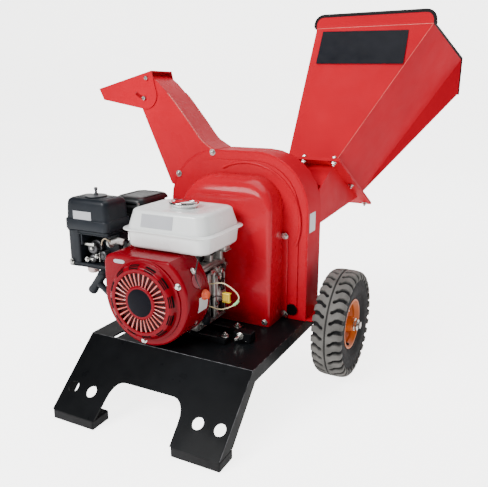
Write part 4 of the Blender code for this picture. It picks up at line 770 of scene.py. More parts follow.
class CHIPPER_OT_wheels(bpy.types.Operator):
    """Lugged tyres, pressed rims and hub nuts"""

    bl_idname = "chipper.wheels"
    bl_label = "Wheels"

    def tyre(self, sizes, middle):
        """A carcass profile from bead to bead round the outside, with lugs raised square to it.

        Profile = groove floor (x, r) as a function of u in -1..1. Lug height = lug depth where
        the turn, shifted along u by the groove's bend, is further than half a groove from the
        nearest groove; the two halves are half a lug apart.
        """
        u = np.concatenate([
            np.linspace(-1, -0.72, 9), np.linspace(-0.70, -0.10, 27),
            [-0.045, -0.012, 0.012, 0.045],
            np.linspace(0.10, 0.70, 27), np.linspace(0.72, 1, 9)])
        off, way = np.abs(u), np.sign(u)
        deep = sizes.lug_depth
        across = np.interp(
            off, [0, 0.52, 0.60, 0.66, 0.72, 0.80, 0.88, 1.0],
            [0, 33, 36.5, 37.6, 37.4, 38.5, 36.5, 27])
        radius = np.interp(off, [0, 0.30, 0.52, 0.60, 0.66, 0.72, 0.80, 0.88, 1.0],
                           [147.3, 146.9, 144.6, 141.5, 136, 127, 110, 92, 68]) - deep
        radius = np.where(off > 0.72, radius + deep * np.clip((off - 0.72) / 0.16, 0, 1), radius)
        turn = np.linspace(0, 2 * np.pi, sizes.lugs * 20, endpoint=False)[:, None]
        bend = np.interp(
            off, [0.10, 0.22, 0.34, 0.46, 0.60, 0.72], [-0.34, -0.26, -0.02, 0.03, -0.04, -0.04])
        phase = (turn / (2 * np.pi) * sizes.lugs + bend + np.where(way > 0, 0.5, 0.0)) % 1.0
        half = np.interp(off, [0.10, 0.16, 0.30, 0.55, 0.72], [0.0, 0.13, 0.13, 0.17, 0.22])
        gap = np.abs(phase - 0.5) - half[None, :]
        lug = np.clip(gap / 0.045, 0, 1)
        lug = np.where(off[None, :] < 0.11, 1.0, lug) * (off > 0.02) * (off < 0.715)
        lean = np.clip((off - 0.46) / 0.2, 0, 1)[None, :]
        rise = deep * lug * np.where(off > 0.02, 1.0, 0.0)
        rise = np.where((off < 0.02)[None, :], deep * 0.55, rise)
        reach = radius[None, :] + rise * (1 - 0.45 * lean)
        out = (across * way)[None, :] + way[None, :] * rise * 0.52 * lean
        centre = np.asarray(middle)
        points = np.stack([out, reach * np.cos(turn), reach * np.sin(turn)], -1) * MM + centre
        extra = []
        for offset, size in ((21, 66.5), (-21, 66.5)):
            extra.append(
                np.stack(
                    [
                        np.full(len(turn), float(offset)), size * np.cos(turn[:, 0]),
                        size * np.sin(turn[:, 0])],
                    -1)
                * MM + centre)
        grid = np.concatenate([points, np.stack(extra, 1)], 1)
        mark = np.concatenate(
            [np.where((off < 0.02)[None, :], 0.2, lug), np.zeros((len(turn), 2))], 1)
        return (grid, True, True), mark

    def execute(self, context):
        sizes = context.scene.chipper_sizes
        for side, way in (("left", -1), ("right", 1)):
            low, high = local("tyre_" + side)
            middle = (low + high) / 2
            body = "wheel_" + side
            shape, mark = self.tyre(sizes, at(*middle))
            piece(
                "tread_" + side, [shape], "dusty_tyre_rubber", body, sharp=30,
                stands_for=("tyre_" + side,), marks=mark)
            hub_low, hub_high = local("rim_" + side)
            out = hub_high[0] - middle[0] if way > 0 else middle[0] - hub_low[0]
            back = hub_high[0] - hub_low[0] - out
            dish = [
                (10.6, -back), (18, -back), (18, -24), (24, -16), (46, -10), (54, -14), (58, -24),
                (66.4, -26.5), (68.6, -28), (68.6, -29.6), (64, -29.6), (57, -27.5), (56, -18),
                (56, 18),
                (64, 29.6), (68.6, 29.6), (68.6, 28), (66.4, 26.5), (62, 25.5), (57, 16), (52, 0),
                (44, 5),
                (30, 4), (22, 7), (18, out - 3), (15, out), (10.6, out),
            ]
            points = turned(at(*middle), (way, 0, 0), dish, 72)[0]
            piece(
                "rim_dish_" + side, [(points, True, True)], "orange_enamel", body, sharp=32,
                stands_for=("rim_" + side,))
            studs = []
            for k in range(4):
                t = math.pi / 4 + k * math.pi / 2
                spot = at(
                    middle[0] + way * 4.4, middle[1] + 37 * math.cos(t),
                    middle[2] + 37 * math.sin(t))
                studs += bolt(spot, (way, 0, 0), 9, 4, True, 2)
            piece("rim_bolts_" + side, studs, "zinc_plate", body)
            stem = at(middle[0] + way * 8, middle[1] - 20, middle[2] - 46)
            piece(
                "valve_" + side,
                [
                    turned(
                        stem, (way, 0, -0.35),
                        [(0, -4), (4, -4), (3.2, 6), (2.6, 14), (3.4, 14), (3.4, 22), (0, 23)], 14)
                ],
                "black_rubber", body)
            nut_low, nut_high = local("axle_nut_" + side)
            mid = (nut_low + nut_high) / 2
            start = nut_low[0] if way > 0 else nut_high[0]
            thick = nut_high[0] - nut_low[0]
            head = [(9.7, 0), (15.8, 0), (15.8, thick * 0.82), (13.2, thick), (9.7, thick)]
            ring = [(9.7, 0.0), (17.5, 0.0), (17.5, 1.8), (9.7, 1.8)]
            base = at(start, mid[1], mid[2])
            nut, washer = turned(base, (way, 0, 0), head, 6), turned(base, (way, 0, 0), ring, 32)
            piece(
                "hub_nut_" + side, [(nut[0], True, True), (washer[0], True, True)], "zinc_plate",
                sharp=30, stands_for=("axle_nut_" + side,))
        return {"FINISHED"}


class CHIPPER_OT_recoil(bpy.types.Operator):
    """Recoil cover with its ribbed intake ring, wall vents, round badge and bolts"""

    bl_idname = "chipper.recoil"
    bl_label = "Recoil cover"
    bolt_turns = (26, 266)
    bolt_circle = 105

    def execute(self, context):
        sizes = context.scene.chipper_sizes
        low, high = local("recoil_cover")
        mid_x, mid_z, base = (low[0] + high[0]) / 2, (low[2] + high[2]) / 2, high[1]
        centre, out = at(mid_x, base, mid_z), FRONT
        rim = (high[0] - low[0]) / 2
        shell = [
            (73, 18.6), (73.4, 20.4), (75, 21.2), (80, 20.9), (85.5, 19.6), (88.2, 17.4),
            (91.4, 10.0),
            (93.2, 4.6), (95.0, 3.2), (rim - 0.6, 3.2), (rim, 2.6), (rim, 0.2), (91.0, 0.2),
            (88.6, 9.0), (85.6, 15.8), (83.0, 17.2), (75, 18.4),
        ]
        hub = [
            (0, 22.3), (34.0, 22.3), (36.0, 22.6), (38.6, 22.4), (41.0, 21.4), (42.2, 19.8),
            (42.2, 17.8), (0, 17.8),
        ]
        ribs = []
        around = np.linspace(0, 2 * np.pi, 8, endpoint=False)
        for k in range(sizes.ribs):
            t = 2 * math.pi * k / sizes.ribs
            reach = np.linspace(40.0, 75.5, 9)
            rise = 20.7 - 0.9 * ((reach - 57) / 18) ** 2 + 0.5
            line = placed(np.stack(
                [mid_x + reach * math.cos(t), base - rise + 1.3, mid_z + reach * math.sin(t)], 1))
            run = np.array([math.cos(t), 0, math.sin(t)])
            side = np.array([-math.sin(t), 0, math.cos(t)])
            width = 1.25 + 1.35 * (reach - 40) / 35
            ring = (
                np.cos(around)[None, :, None] * side * width[:, None, None]
                + np.sin(around)[None, :, None] * np.array([0, 1.0, 0]) * 1.7
            ) * MM
            points = line[:, None] + ring
            first = np.repeat(line[:1, None] - run * 0.001, 8, 1)
            last = np.repeat(line[-1:, None] + run * 0.001, 8, 1)
            ribs.append((np.concatenate([first, points, last]), False, True))
        bead = np.linspace(0, 2 * np.pi, 96, endpoint=False)
        path = upright(circle(mid_x, mid_z, 73.5, bead), base - 21.0)
        outward = np.stack([np.cos(bead), np.zeros(96), np.sin(bead)], 1)
        lip = path[:, None] + MM * (
            np.cos(around)[:, None] * outward[:, None] + np.sin(around)[:, None] * np.array(FRONT)
        )
        piece(
            "recoil_dish",
            [
                (turned(centre, out, shell, 96)[0], True, True), turned(centre, out, hub, 64),
                (lip, True, True)],
            "engine_red_enamel", sharp=38, stands_for=("recoil_cover",))
        # The ribs' lighter red is a painted highlight.
        piece("recoil_ribs", ribs, "polished_rib_red", sharp=60)
        # A dark red disc behind the ribs: painted shade seen in the gaps of the intake ring.
        shade_disc = [(0, 12.0), (78, 12.0), (78, 10.5), (0, 10.5)]
        piece("recoil_screen", [turned(centre, out, shade_disc, 64)], "shaded_red")
        vents = []
        for middle in range(-170, 190, 30):
            if any(abs((middle - b + 180) % 360 - 180) < 12 for b in self.bolt_turns):
                continue
            turn = np.radians(np.linspace(middle - 9, middle + 9, 14))
            for inner, outer, low_h, high_h in (
                (81.9, 84.7, 20.5, 19.8), (86.1, 87.9, 19.1, 17.6), (89.0, 91.0, 15.6, 10.9)):
                section = (
                    (inner, low_h), (outer, high_h), (outer - 1.5, high_h - 0.8),
                    (inner - 1.5, low_h - 0.8),
                )
                vents.append(strip([
                    upright(circle(mid_x, mid_z, r + 0.35, turn), base - h - 0.15)
                    for r, h in section]))
        piece("recoil_vents", vents, "shadow_black")
        badge = [(0, 22.6), (33.2, 22.4), (34.4, 21.9), (34.4, 20.0), (0, 20.0)]
        piece(
            "round_badge", [turned(centre + np.array([0, -0.0004, 0]), out, badge, 64)],
            "bare_round_badge")
        studs = []
        for degrees in self.bolt_turns:
            t = math.radians(degrees)
            spot = at(
                mid_x + self.bolt_circle * math.cos(t), base + 0.2,
                mid_z + 2 + self.bolt_circle * math.sin(t))
            studs += bolt(spot, out, 10, 5)
        piece("recoil_bolts", studs, "zinc_plate")
        return {"FINISHED"}


class CHIPPER_OT_shroud(bpy.types.Operator):
    """Fan shroud with rolled edges, its bare labels, switch, plug plate and handle"""

    bl_idname = "chipper.shroud"
    bl_label = "Fan shroud"

    def outline(self):
        """A circle round the fan that runs into a straight left wall and a rounded shoulder."""
        low, high = local("fan_shroud")
        recoil_low, recoil_high = local("recoil_cover")
        mid_x = (recoil_low[0] + recoil_high[0]) / 2
        radius = 120.0
        mid_z = low[2] + radius
        left, top, corner = low[0] + 1, high[2], 26.0
        rise = math.asin((top - mid_z) / radius)
        round_part = np.linspace(rise, -math.pi, 90)
        arc = circle(mid_x, mid_z, radius, round_part)
        climb = np.stack([np.full(8, left), np.linspace(mid_z + 8, top - corner, 8)], 1)
        turn = np.linspace(math.pi, math.pi / 2, 10)[1:]
        shoulder = circle(left + corner, top - corner, corner, turn)
        run = np.stack([np.linspace(left + corner, arc[0, 0] - 6, 16)[1:], np.full(15, top)], 1)
        shape = np.concatenate([arc, climb, shoulder, run])[::-1]
        return shape, mid_x, mid_z, low, high

    def execute(self, context):
        shape, mid_x, mid_z, low, high = self.outline()
        front, back = low[1], high[1]
        spoke = shape - np.array([mid_x, mid_z])
        spoke /= np.linalg.norm(spoke, axis=1)[:, None]
        hole = np.array([mid_x, mid_z - 4]) + 89.0 * spoke
        rows = [upright(hole, front + 2.5), upright(hole, front)]
        edge = 7.0
        for t in np.linspace(0, math.pi / 2, 6):
            rows.append(
                upright(inset(shape, edge * (1 - math.sin(t))), front + edge * (1 - math.cos(t))))
        rows += [
            upright(shape, back - 8), upright(inset(shape, -1.6), back - 7),
            upright(inset(shape, -1.6), back - 0.6), upright(shape, back)]
        rows += [
            upright(inset(shape, 2.5), back), upright(inset(shape, 2.5), front + edge),
            upright(inset(shape, edge), front + 2.5)]
        piece(
            "shroud_shell", [lofted(rows, True)], "engine_red_enamel", sharp=32,
            stands_for=("fan_shroud",))

        turn = np.radians(np.linspace(-16, 2, 10))
        wall = [
            upright(circle(mid_x, mid_z, radius, turn), y)
            for radius, y in ((120.4, 38.0), (120.9, 38.3), (120.9, 79.7), (120.4, 80.0))
        ]
        piece("shroud_label", [strip(wall)], "bare_white_label")
        turn = np.linspace(0, 2 * np.pi, 48, endpoint=False)
        long = np.where(np.cos(turn) > 0, 9.0, -9.0)
        rows = []
        for reach, height in ((7.5, 0.0), (7.5, 1.0), (6.4, 1.3), (5.9, 1.0)):
            rows.append(
                upright(
                    np.stack(
                        [-121 + long + reach * np.cos(turn), 371 + reach * 0.62 * np.sin(turn)], 1
                    ),
                    front - height,
                )
            )
        piece("shroud_badge", [lofted(rows)], "bare_plate_grey")

        switch_low, switch_high = local("engine_switch")
        seat = at(
            switch_low[0], (switch_low[1] + switch_high[1]) / 2,
            (switch_low[2] + switch_high[2]) / 2)
        depth = switch_high[0] - switch_low[0]
        body = [
            (0, 0), (13, 0), (13, 4), (12, 5.4), (10, 6), (9, depth - 2), (8, depth - 0.6),
            (6.5, depth), (0, depth)]
        flutes = lambda t, k: np.where(k >= 5, 0.5 * np.cos(10 * t), 0.0)
        piece(
            "switch_knob", [turned(seat, RIGHT, body, 60, flutes)], "orange_switch_moulding",
            "engine_switch", sharp=40, stands_for=("engine_switch",))
        disc = [(0, -0.6), (17, -0.6), (17, 1.6), (15.8, 2.4), (4, 2.6), (0, 2.6)]
        plate_at = at(62.4, 42, 333.5)
        piece("switch_plate", [turned(plate_at, (0.92, 0, 0.38), disc, 40)], "dull_rose_plate")
        studs = bolt(at(50.5, 44, 356), (0.82, 0, 0.57), 10, 6)
        studs += bolt(at(51, 52, 224), (0.86, 0, -0.5), 8, 3, False)
        studs += bolt(at(9, 85.4, 186), FRONT, 10, 5)
        piece("shroud_bolts", studs, "zinc_plate")

        seat_low, seat_high = local("starter_handle")
        pull = np.array([-0.8, 0.0, 0.6])
        cross = np.array([-0.6, 0.0, -0.8])
        y = (seat_low[1] + seat_high[1]) / 2
        seat = at(-173.4, y, 273.7)
        grip_at = seat + pull * 44 * MM
        bar = [
            (0, -36), (7, -35.6), (11, -33.4), (12.5, -29), (11.4, -18), (11.2, -6), (11.2, 6),
            (11.4, 18), (12.5, 29), (11, 33.4), (7, 35.6), (0, 36)]
        stem = [(0, 0), (7.0, 0), (7.5, 1), (7.5, 24), (9.2, 36), (10, 42), (0, 44)]
        piece(
            "pull_handle", [turned(grip_at, cross, bar, 32), turned(seat, pull, stem, 24)],
            "black_moulding", "starter_handle", sharp=40, stands_for=("starter_handle",))
        guide = [(0, -1.5), (10, -1.5), (11, 0.5), (9, 3.2), (6.8, 3.4), (6.2, 1.2), (0, 1.0)]
        piece("rope_guide", [turned(seat - pull * 2.2 * MM, pull, guide, 32)], "cast_alloy_skin")
        return {"FINISHED"}


class CHIPPER_OT_tank(bpy.types.Operator):
    """Fuel tank with its rolled seam, filler cap and bare label"""

    bl_idname = "chipper.tank"
    bl_label = "Fuel tank"

    def execute(self, context):
        low, high = local("fuel_tank")
        cap_low, cap_high = local("fuel_cap")
        left, right = low[0] + 12, high[0] - 12
        front, back = low[1] + 6, high[1] - 6
        seam, bottom, top = 437.0, low[2], cap_low[2] - 4.3
        box = (left, front, right, back)
        rows = []
        for t in np.linspace(0, math.pi / 2, 6):
            rows.append((bottom + 12 * (1 - math.sin(t)), 4 + 12 * (1 - math.cos(t)), 26))
        rows.sort(key=lambda row: row[0])
        rows += [(seam - 5, 0.4, 31), (seam - 2.4, 0.0, 31)]
        lip = level_rings(box, rows, 10)
        shift = np.array([MIDDLE_X, DECK_FRONT, 0.0])
        flange = []
        for height, side, end in (
            (-1.6, 11.0, 5.2), (-0.6, 12.0, 6.0), (0.8, 12.0, 6.0), (1.7, 11.0, 5.2),
            (2.2, 4.0, 2.5)):
            ring = plan(left - side, front - end, right + side, back + end, 36, seam + height, 10)
            flange.append(ring * MM + shift)
        lean = 10.5 / (top - 9 - seam)
        upper = [(z, 0.4 + lean * (z - seam), 30) for z in np.linspace(seam + 3.4, top - 9, 6)]
        for t in np.linspace(0, math.pi / 2, 7)[1:]:
            upper.append(
                (
                    top - 9 * (1 - math.sin(t)), 10.9 + 17 * (1 - math.cos(t)),
                    29 - 10 * (1 - math.cos(t))))
        upper += [(top + 0.3, 42, 16), (top - 0.8, 50, 14), (top - 0.8, 66, 8)]
        cap_mid = (cap_low + cap_high) / 2
        middle = at(*cap_mid[:2], cap_low[2])
        neck = [(0, -8), (31, -8), (31, -3.6), (29.8, -0.5), (0, -0.5)]
        piece(
            "tank_shell",
            [lofted(lip + flange + level_rings(box, upper, 10)), turned(middle, UP, neck, 48)],
            "tank_enamel", sharp=40, stands_for=("fuel_tank",))
        tall = cap_high[2] - cap_low[2]
        rim = (cap_high[0] - cap_low[0]) / 2
        cap = [
            (0, 0), (rim - 2, 0), (rim - 0.6, 0.8), (rim - 0.3, 3), (rim - 0.3, tall - 5),
            (rim - 1.2, tall - 3.4),
            (rim - 4, tall - 2.2), (rim - 8, tall - 2.4), (rim - 10, tall - 1.0), (12, tall - 0.3),
            (0, tall - 0.2),
        ]
        knurl = lambda t, k: np.where((k > 1) & (k < 5), 0.3 * np.cos(36 * t) - 0.1, 0.0)
        grip = cushion(
            (-30 + cap_mid[0], -4.5 + cap_mid[1], cap_high[2] - 2.6),
            (30 + cap_mid[0], 4.5 + cap_mid[1], cap_high[2]), 1.2, 4.2)
        piece(
            "filler_cap", [turned(middle, UP, cap, 144, knurl), grip], "chrome_plate", "fuel_cap",
            sharp=35, stands_for=("fuel_cap",))

        def on_front(x, z):
            return at(x, front + 0.4 + lean * (z - seam), z)

        corners = [on_front(-94, 447), on_front(-4, 447), on_front(-4, 478), on_front(-94, 478)]
        piece("tank_label", sheet(corners, 0.5, (0, -0.97, 0.24), 6), "bare_plate_grey")
        return {"FINISHED"}


class CHIPPER_OT_air_cleaner(bpy.types.Operator):
    """Air cleaner, its stepped cover, bare label, wing knob and the parts in its recess"""

    bl_idname = "chipper.air_cleaner"
    bl_label = "Air cleaner"

    def execute(self, context):
        low, high = local("air_cleaner_cover")
        skirt = low[2] + 27
        box = (low[0], low[1], high[0], high[1])
        rows = [
            (low[2], 2.0, 12), (low[2] + 1.5, 0.4, 13), (low[2] + 3, 0.0, 14),
            (skirt - 2, 0.0, 14), (skirt, 1.0, 14), (skirt + 1.2, 3.4, 13)]
        rows += [(high[2] - 22, 4.4, 15)]
        for t in np.linspace(0, math.pi / 2, 6):
            rows.append(
                (
                    high[2] - 1.5 - 15 * (1 - math.sin(math.pi / 2 - (math.pi / 2 - t))),
                    5 + 13 * (1 - math.cos(t)), 15 - 5 * (1 - math.cos(t))))
        rows.sort(key=lambda row: row[0])
        rows += [(high[2] - 1.4, 24, 9), (high[2] - 0.2, 26.5, 8)]
        piece(
            "cleaner_cover", [lofted(level_rings(box, rows, 8))], "black_moulding",
            "air_cleaner_cover", sharp=30, stands_for=("air_cleaner_cover",))
        face = low[1] + 3.4
        corners = [
            at(-297, face + 0.2, 448.5), at(-238.5, face + 0.2, 448.5),
            at(-238.5, face + 0.6, 470), at(-297, face + 0.6, 470)]
        piece(
            "cleaner_label", sheet(corners, 0.8, (0, -1, 0.02), 6), "bare_plate_grey",
            "air_cleaner_cover")
        knob_low, knob_high = local("air_cleaner_knob")
        centre = at(
            (knob_low[0] + knob_high[0]) / 2, (knob_low[1] + knob_high[1]) / 2, knob_low[2])
        disc = [(0, 0), (27, 0), (28, 1), (27.4, 2.4), (22, 3.0), (9, 3.4), (0, 3.4)]
        stud = [
            (0, 3), (5.6, 3), (5.6, 7), (3.4, 8), (3.2, 15), (4.6, 16.2), (4.8, 20.5), (3.6, 22.4),
            (0, 23)]
        piece(
            "cleaner_knob", [turned(centre, UP, disc, 48), turned(centre, UP, stud, 24)],
            "dark_knob_moulding", "air_cleaner_knob", sharp=40, stands_for=("air_cleaner_knob",))

        case_low, case_high = local("air_cleaner_case")
        floor_z = 322.0
        left, front = case_low[:2]
        right, back, top = case_high
        surfaces = [
            cushion((left, front, floor_z), (left + 42, back, top - 0.4), 3.0, 8.0),
            cushion((left + 30, front + 44, floor_z), (right, back - 0.4, top - 0.8), 3.0, 6.0),
            cushion(
                (left + 6, front + 1.5, floor_z + 0.6), (right - 2, back - 2, floor_z + 12), 2.5,
                7.0),
            cushion((left + 10, front + 3, top - 12), (right - 1, back - 1, top - 0.2), 2.5, 7.0),
            cushion(
                (left + 44, front + 2, floor_z + 60), (left + 50, front + 44, top - 10), 1.0, 1.5),
        ]
        cup = [(0, -26), (11, -26), (14, -24), (16, -19), (16, 4), (0, 4)]
        cup_at = at(left + 42, front + 47, floor_z)
        piece(
            "cleaner_case", surfaces, "black_moulding", sharp=30, stands_for=("air_cleaner_case",))
        piece("sediment_cup", [turned(cup_at, UP, cup, 32)], "sediment_cup_alloy")
        bits = []
        for x, z, radius, deep in (
            (-258, 371, 15, 26), (-258, 371, 19, 12), (-256, 343, 11, 30), (-256, 343, 16, 16),
            (-230, 352, 12, 20)):
            bits.append(
                turned(
                    at(x, front + 44, z), FRONT,
                    [
                        (0, 0), (radius, 0), (radius, deep - 1.5), (radius - 2, deep),
                        (radius * 0.5, deep), (radius * 0.45, deep + 2), (0, deep + 2)],
                    32))
        bits.append(cushion((-276, front + 34, 318), (-214, front + 52, 336), 3, 4))
        piece("carburettor_stack", bits, "oiled_steel")
        shiny = [
            cushion((-279, front + 12, 378), (-246, front + 16, 386), 1.5, 2.0),
            cushion((-272, front + 10, 340), (-250, front + 14, 347), 1.5, 2.0),
            cushion((-241, front + 20, 336), (-236, front + 24, 360), 1.0, 1.5),
        ]
        shiny += bolt(at(-268, front + 9, 343), FRONT, 8, 4)
        shiny += bolt(at(-243, front + 17, 352), FRONT, 7, 4)
        shiny += bolt(at(left + 12, front + 0.2, floor_z + 12), FRONT, 9, 4)
        shiny += bolt(at(-258, front + 16.5, 371), FRONT, 7, 3, False)
        piece("carburettor_bright", shiny, "zinc_plate")
        hook = curved(
            [
                at(-224, front + 16, 384), at(-219, front + 14, 396), at(-210, front + 14, 403),
                at(-202, front + 18, 398), at(-196, front + 30, 386)],
            30)
        elbow = curved(
            [at(-212, 60, 388), at(-200, 62, 392), at(-186, 66, 396), at(-172, 72, 392)], 20)
        piece("intake_rod", [swept(hook, 1.9, 10)], "tan_rod")
        piece(
            "intake_elbow",
            [
                swept(elbow, 8.5, 20),
                turned(
                    at(-205, 60, 389), (1, 0, 0.3), [(0, -3), (11, -3), (12, -1), (12, 3), (0, 3)],
                    28)],
            "cast_alloy_skin")
        return {"FINISHED"}


class CHIPPER_OT_muffler(bpy.types.Operator):
    """Muffler shell with its rolled seam, screws, outlet and mounting strap"""

    bl_idname = "chipper.muffler"
    bl_label = "Muffler"

    def execute(self, context):
        low, high = local("muffler")
        floor_z = 400.0
        box = (low[0], low[1], high[0], high[1])
        seam = (floor_z + high[2]) / 2 + 6
        rows = rounded_rows(floor_z, high[2] - 0.3, 15, 17, 6)
        lower = [row for row in rows if row[0] < seam - 3]
        upper = [row for row in rows if row[0] > seam + 3]
        band = [
            (seam - 2.2, 1.0, 17), (seam - 1.4, 0.0, 17), (seam + 1.4, 0.0, 17),
            (seam + 2.2, 1.0, 17)]
        lower = [(z, i + 1.4, c) for z, i, c in lower]
        upper = [(z, i + 1.4, c) for z, i, c in upper]
        surfaces = [lofted(level_rings(box, lower + band + upper, 6))]
        pipe_low = low[2]
        mid_x, mid_y = (low[0] + high[0]) / 2 + 10, low[1] + 36
        surfaces.append(
            turned(at(mid_x, mid_y, pipe_low), UP, [(0, 0), (15, 0), (15, 33), (0, 33)], 28))
        surfaces.append(
            cushion(
                (low[0] + 8, low[1] + 20, high[2] - 2.2),
                (high[0] - 8, high[1] - 20, high[2] - 0.4), 0.8, 9))
        piece("muffler_shell", surfaces, "heat_black_enamel", sharp=32, stands_for=("muffler",))
        studs = []
        for x, z in (
            (low[0] + 14, floor_z + 14), (high[0] - 12, floor_z + 14), (low[0] + 14, high[2] - 16),
            (high[0] - 12, high[2] - 16)):
            studs += bolt(at(x, low[1] + 1.4, z), FRONT, 8, 1.0, False)
        for y in (low[1] + 18, (low[1] + high[1]) / 2, high[1] - 18):
            studs += bolt(at(low[0] + 1.4, y, seam - 14), LEFT, 8, 1.0, False)
        piece("muffler_screws", studs, "zinc_plate")
        return {"FINISHED"}


class CHIPPER_OT_belt_cover(bpy.types.Operator):
    """Belt cover: an arched front with a pressed round edge, its flange and bolts"""

    bl_idname = "chipper.belt_cover"
    bl_label = "Belt cover"

    def execute(self, context):
        low, high = local("belt_cover")
        left, right = -98.0, 162.0
        bottom, top, corner = low[2], high[2], 80.0
        front, back, edge = low[1], high[1], 11.0

        turn = np.linspace(0, math.pi / 2, 14)
        right_side = np.stack([np.full(12, right), np.linspace(bottom, top - corner - 2, 12)], 1)
        first = np.stack(
            [right - corner + corner * np.cos(turn), top - corner + corner * np.sin(turn)], 1)
        roof = np.stack(
            [np.linspace(right - corner - 4, left + corner + 4, 10), np.full(10, top)], 1)
        second = np.stack(
            [left + corner - corner * np.sin(turn), top - corner + corner * np.cos(turn)], 1)
        left_side = np.stack([np.full(12, left), np.linspace(top - corner - 2, bottom, 12)], 1)
        foot = np.stack([np.linspace(left + 16, right - 16, 8), np.full(8, bottom)], 1)
        shape = np.concatenate([right_side, first, roof, second, left_side, foot])
        inward = inset(shape, 1.0) - shape
        inward[-8:] = 0.0
        inward[[0, -9]] = [[-1.0, 0.0], [1.0, 0.0]]
        soft = edge + 36.0 * np.clip((shape[:, 1] - (top - 75)) / 75, 0, 1) ** 1.5
        soft[-8:] = 0.0

        def ring(t):
            """The outline drawn in by radius (1 - sin t), at depth radius (1 - cos t)."""
            drawn = shape + inward * (soft * (1 - math.sin(t)))[:, None]
            level = front + soft * (1 - math.cos(t))
            points = np.stack([drawn[:, 0], level, drawn[:, 1]], 1)
            return placed(points)

        rows = [ring(t) for t in np.linspace(0, math.pi / 2, 9)]
        rows += [upright(shape, back - 1), upright(shape + 2 * inward, back - 0.2)]
        ear = cushion(
            (right - 4, back - 4.5, bottom + 4), (high[0], back - 0.3, top - 150), 1.0, 1.4)
        piece(
            "belt_case", [lofted(rows), ear], "polished_red_enamel", sharp=30,
            stands_for=("belt_cover",))
        studs = bolt(at(high[0] - 9, back - 4.4, top - 154), FRONT, 11, 5)
        studs += bolt(at(high[0] - 9, back - 4.4, bottom + 16), FRONT, 11, 5)
        studs += bolt(at(right - 14, front - 0.1, bottom + 12), FRONT, 10, 5)
        piece("belt_case_bolts", studs, "zinc_plate")
        return {"FINISHED"}


class CHIPPER_OT_casing(bpy.types.Operator):
    """Pressed rings, weld beads, port, bolts and bare labels on the rotor casing"""

    bl_idname = "chipper.casing"
    bl_label = "Rotor casing trim"

    def execute(self, context):
        size = context.scene.chipper_sizes.bead
        low, high = local("rotor_casing")
        front_low, front_high = local("casing_front")
        y = front_low[1]
        beads = []
        turn = np.radians(np.linspace(-22, 118, 90))
        ring = np.stack(
            [57 + 153 * np.cos(turn), np.full(90, y - 0.4), 428 + 153 * np.sin(turn)], 1)
        ring = ring[(ring[:, 0] < front_high[0] - 6) & (ring[:, 2] < front_high[2] - 8)]
        if len(ring) > 6:
            beads.append(swept(placed(ring), 3.6, 10))
        right, top, corner = 231.0, high[2], 150.0
        weld = []
        for x, z in [(right, v) for v in np.linspace(176, top - corner, 60)]:
            weld.append((x, z))
        for t in np.linspace(0.02, math.pi / 2, 60):
            weld.append(
                (right - corner + corner * math.cos(t), top - corner + corner * math.sin(t)))
        weld = np.array(weld)
        path = np.stack([weld[:, 0] - 0.9, np.full(len(weld), low[1] + 0.6), weld[:, 1] - 0.4], 1)
        path = placed(path)
        steps = np.linalg.norm(np.diff(path, axis=0), axis=1).cumsum()
        even = np.linspace(0, steps[-1], 330)
        run = np.concatenate([[0], steps])
        fine = np.stack([np.interp(even, run, path[:, k]) for k in range(3)], 1)
        beads.append(swept(fine, size, 6, 0.22, 5.2))
        piece("casing_beads", beads, "gloss_red_enamel", sharp=60)
        port = [(0, -0.2), (16, -0.2), (16, 1.0), (14.5, 2.0), (12.8, 2.0), (12, 0.8), (0, 0.8)]
        piece("casing_port", [turned(at(192, y, 192), FRONT, port, 36)], "shadow_black")
        studs = bolt(at(172, y, 174), FRONT, context.scene.chipper_sizes.bolt, 5, True, 2)
        for yy, z in ((334, 520), (404, 520), (334, 300), (404, 300)):
            studs += bolt(at(-185.1, yy, z), LEFT, context.scene.chipper_sizes.bolt, 5, True, 2)
        piece("casing_bolts", studs, "zinc_plate")
        face = [at(right, 326, 405), at(right, 368, 405), at(right, 368, 456), at(right, 326, 456)]
        piece("casing_sticker", sheet(face, 0.35, RIGHT, 6), "bare_silver_label")
        return {"FINISHED"}


class CHIPPER_OT_chute(bpy.types.Operator):
    """Weld beads, flange bolts and hinge hardware on the chute and its deflector"""

    bl_idname = "chipper.chute"
    bl_label = "Chute trim"

    def execute(self, context):
        size = context.scene.chipper_sizes.bead
        low, high = local("discharge_chute")
        studs = []
        for x, z in ((-159.6, 537.7), (-50, 601.9)):
            studs += bolt(at(x, low[1] + 0.1, z), FRONT, 11, 5, True, 4)
            studs += bolt(at(x, high[1] - 0.1, z), BACK, 11, 5, True, 4)
        piece("chute_bolts", studs, "zinc_plate")
        wall = curved([at(x, low[1] + 0.3, z) for x, z in (
            (-190, 756), (-172, 738), (-123, 680), (-83, 632), (-47, 608))], 300)
        runs = [swept(wall, size, 6, 0.30, 7.5)]
        back = wall + np.array([0.0, (high[1] - low[1] - 0.6) * MM, 0.0])
        runs.append(swept(back, size, 6, 0.30, 7.5))
        piece("chute_welds", runs, "weld_bead_red", sharp=60)
        for node in ("clamp_bolt", "pivot_bolt"):
            pin_low, pin_high = local(node)
            x, z = (pin_low[0] + pin_high[0]) / 2, (pin_low[2] + pin_high[2]) / 2
            across = (pin_high[0] - pin_low[0]) * 0.98
            head = stub(across / 2, 5.0, across / 2 - 1, 6.0)
            hinge_part = [turned(at(x, pin_low[1] + 6.2, z), FRONT, head, 6)]
            hinge_part.append(
                turned(
                    at(x, pin_high[1] - 7.2, z), BACK, stub(across / 2, 6, across / 2 - 1, 7), 6))
            hinge_part.append(
                turned(
                    at(x, pin_low[1] + 5, z), BACK,
                    [
                        (0, 0), (3.8, 0), (3.8, pin_high[1] - pin_low[1] - 10),
                        (0, pin_high[1] - pin_low[1] - 10)],
                    16))
            piece(node + "_detail", hinge_part, "zinc_plate", sharp=30, stands_for=(node,))
        return {"FINISHED"}


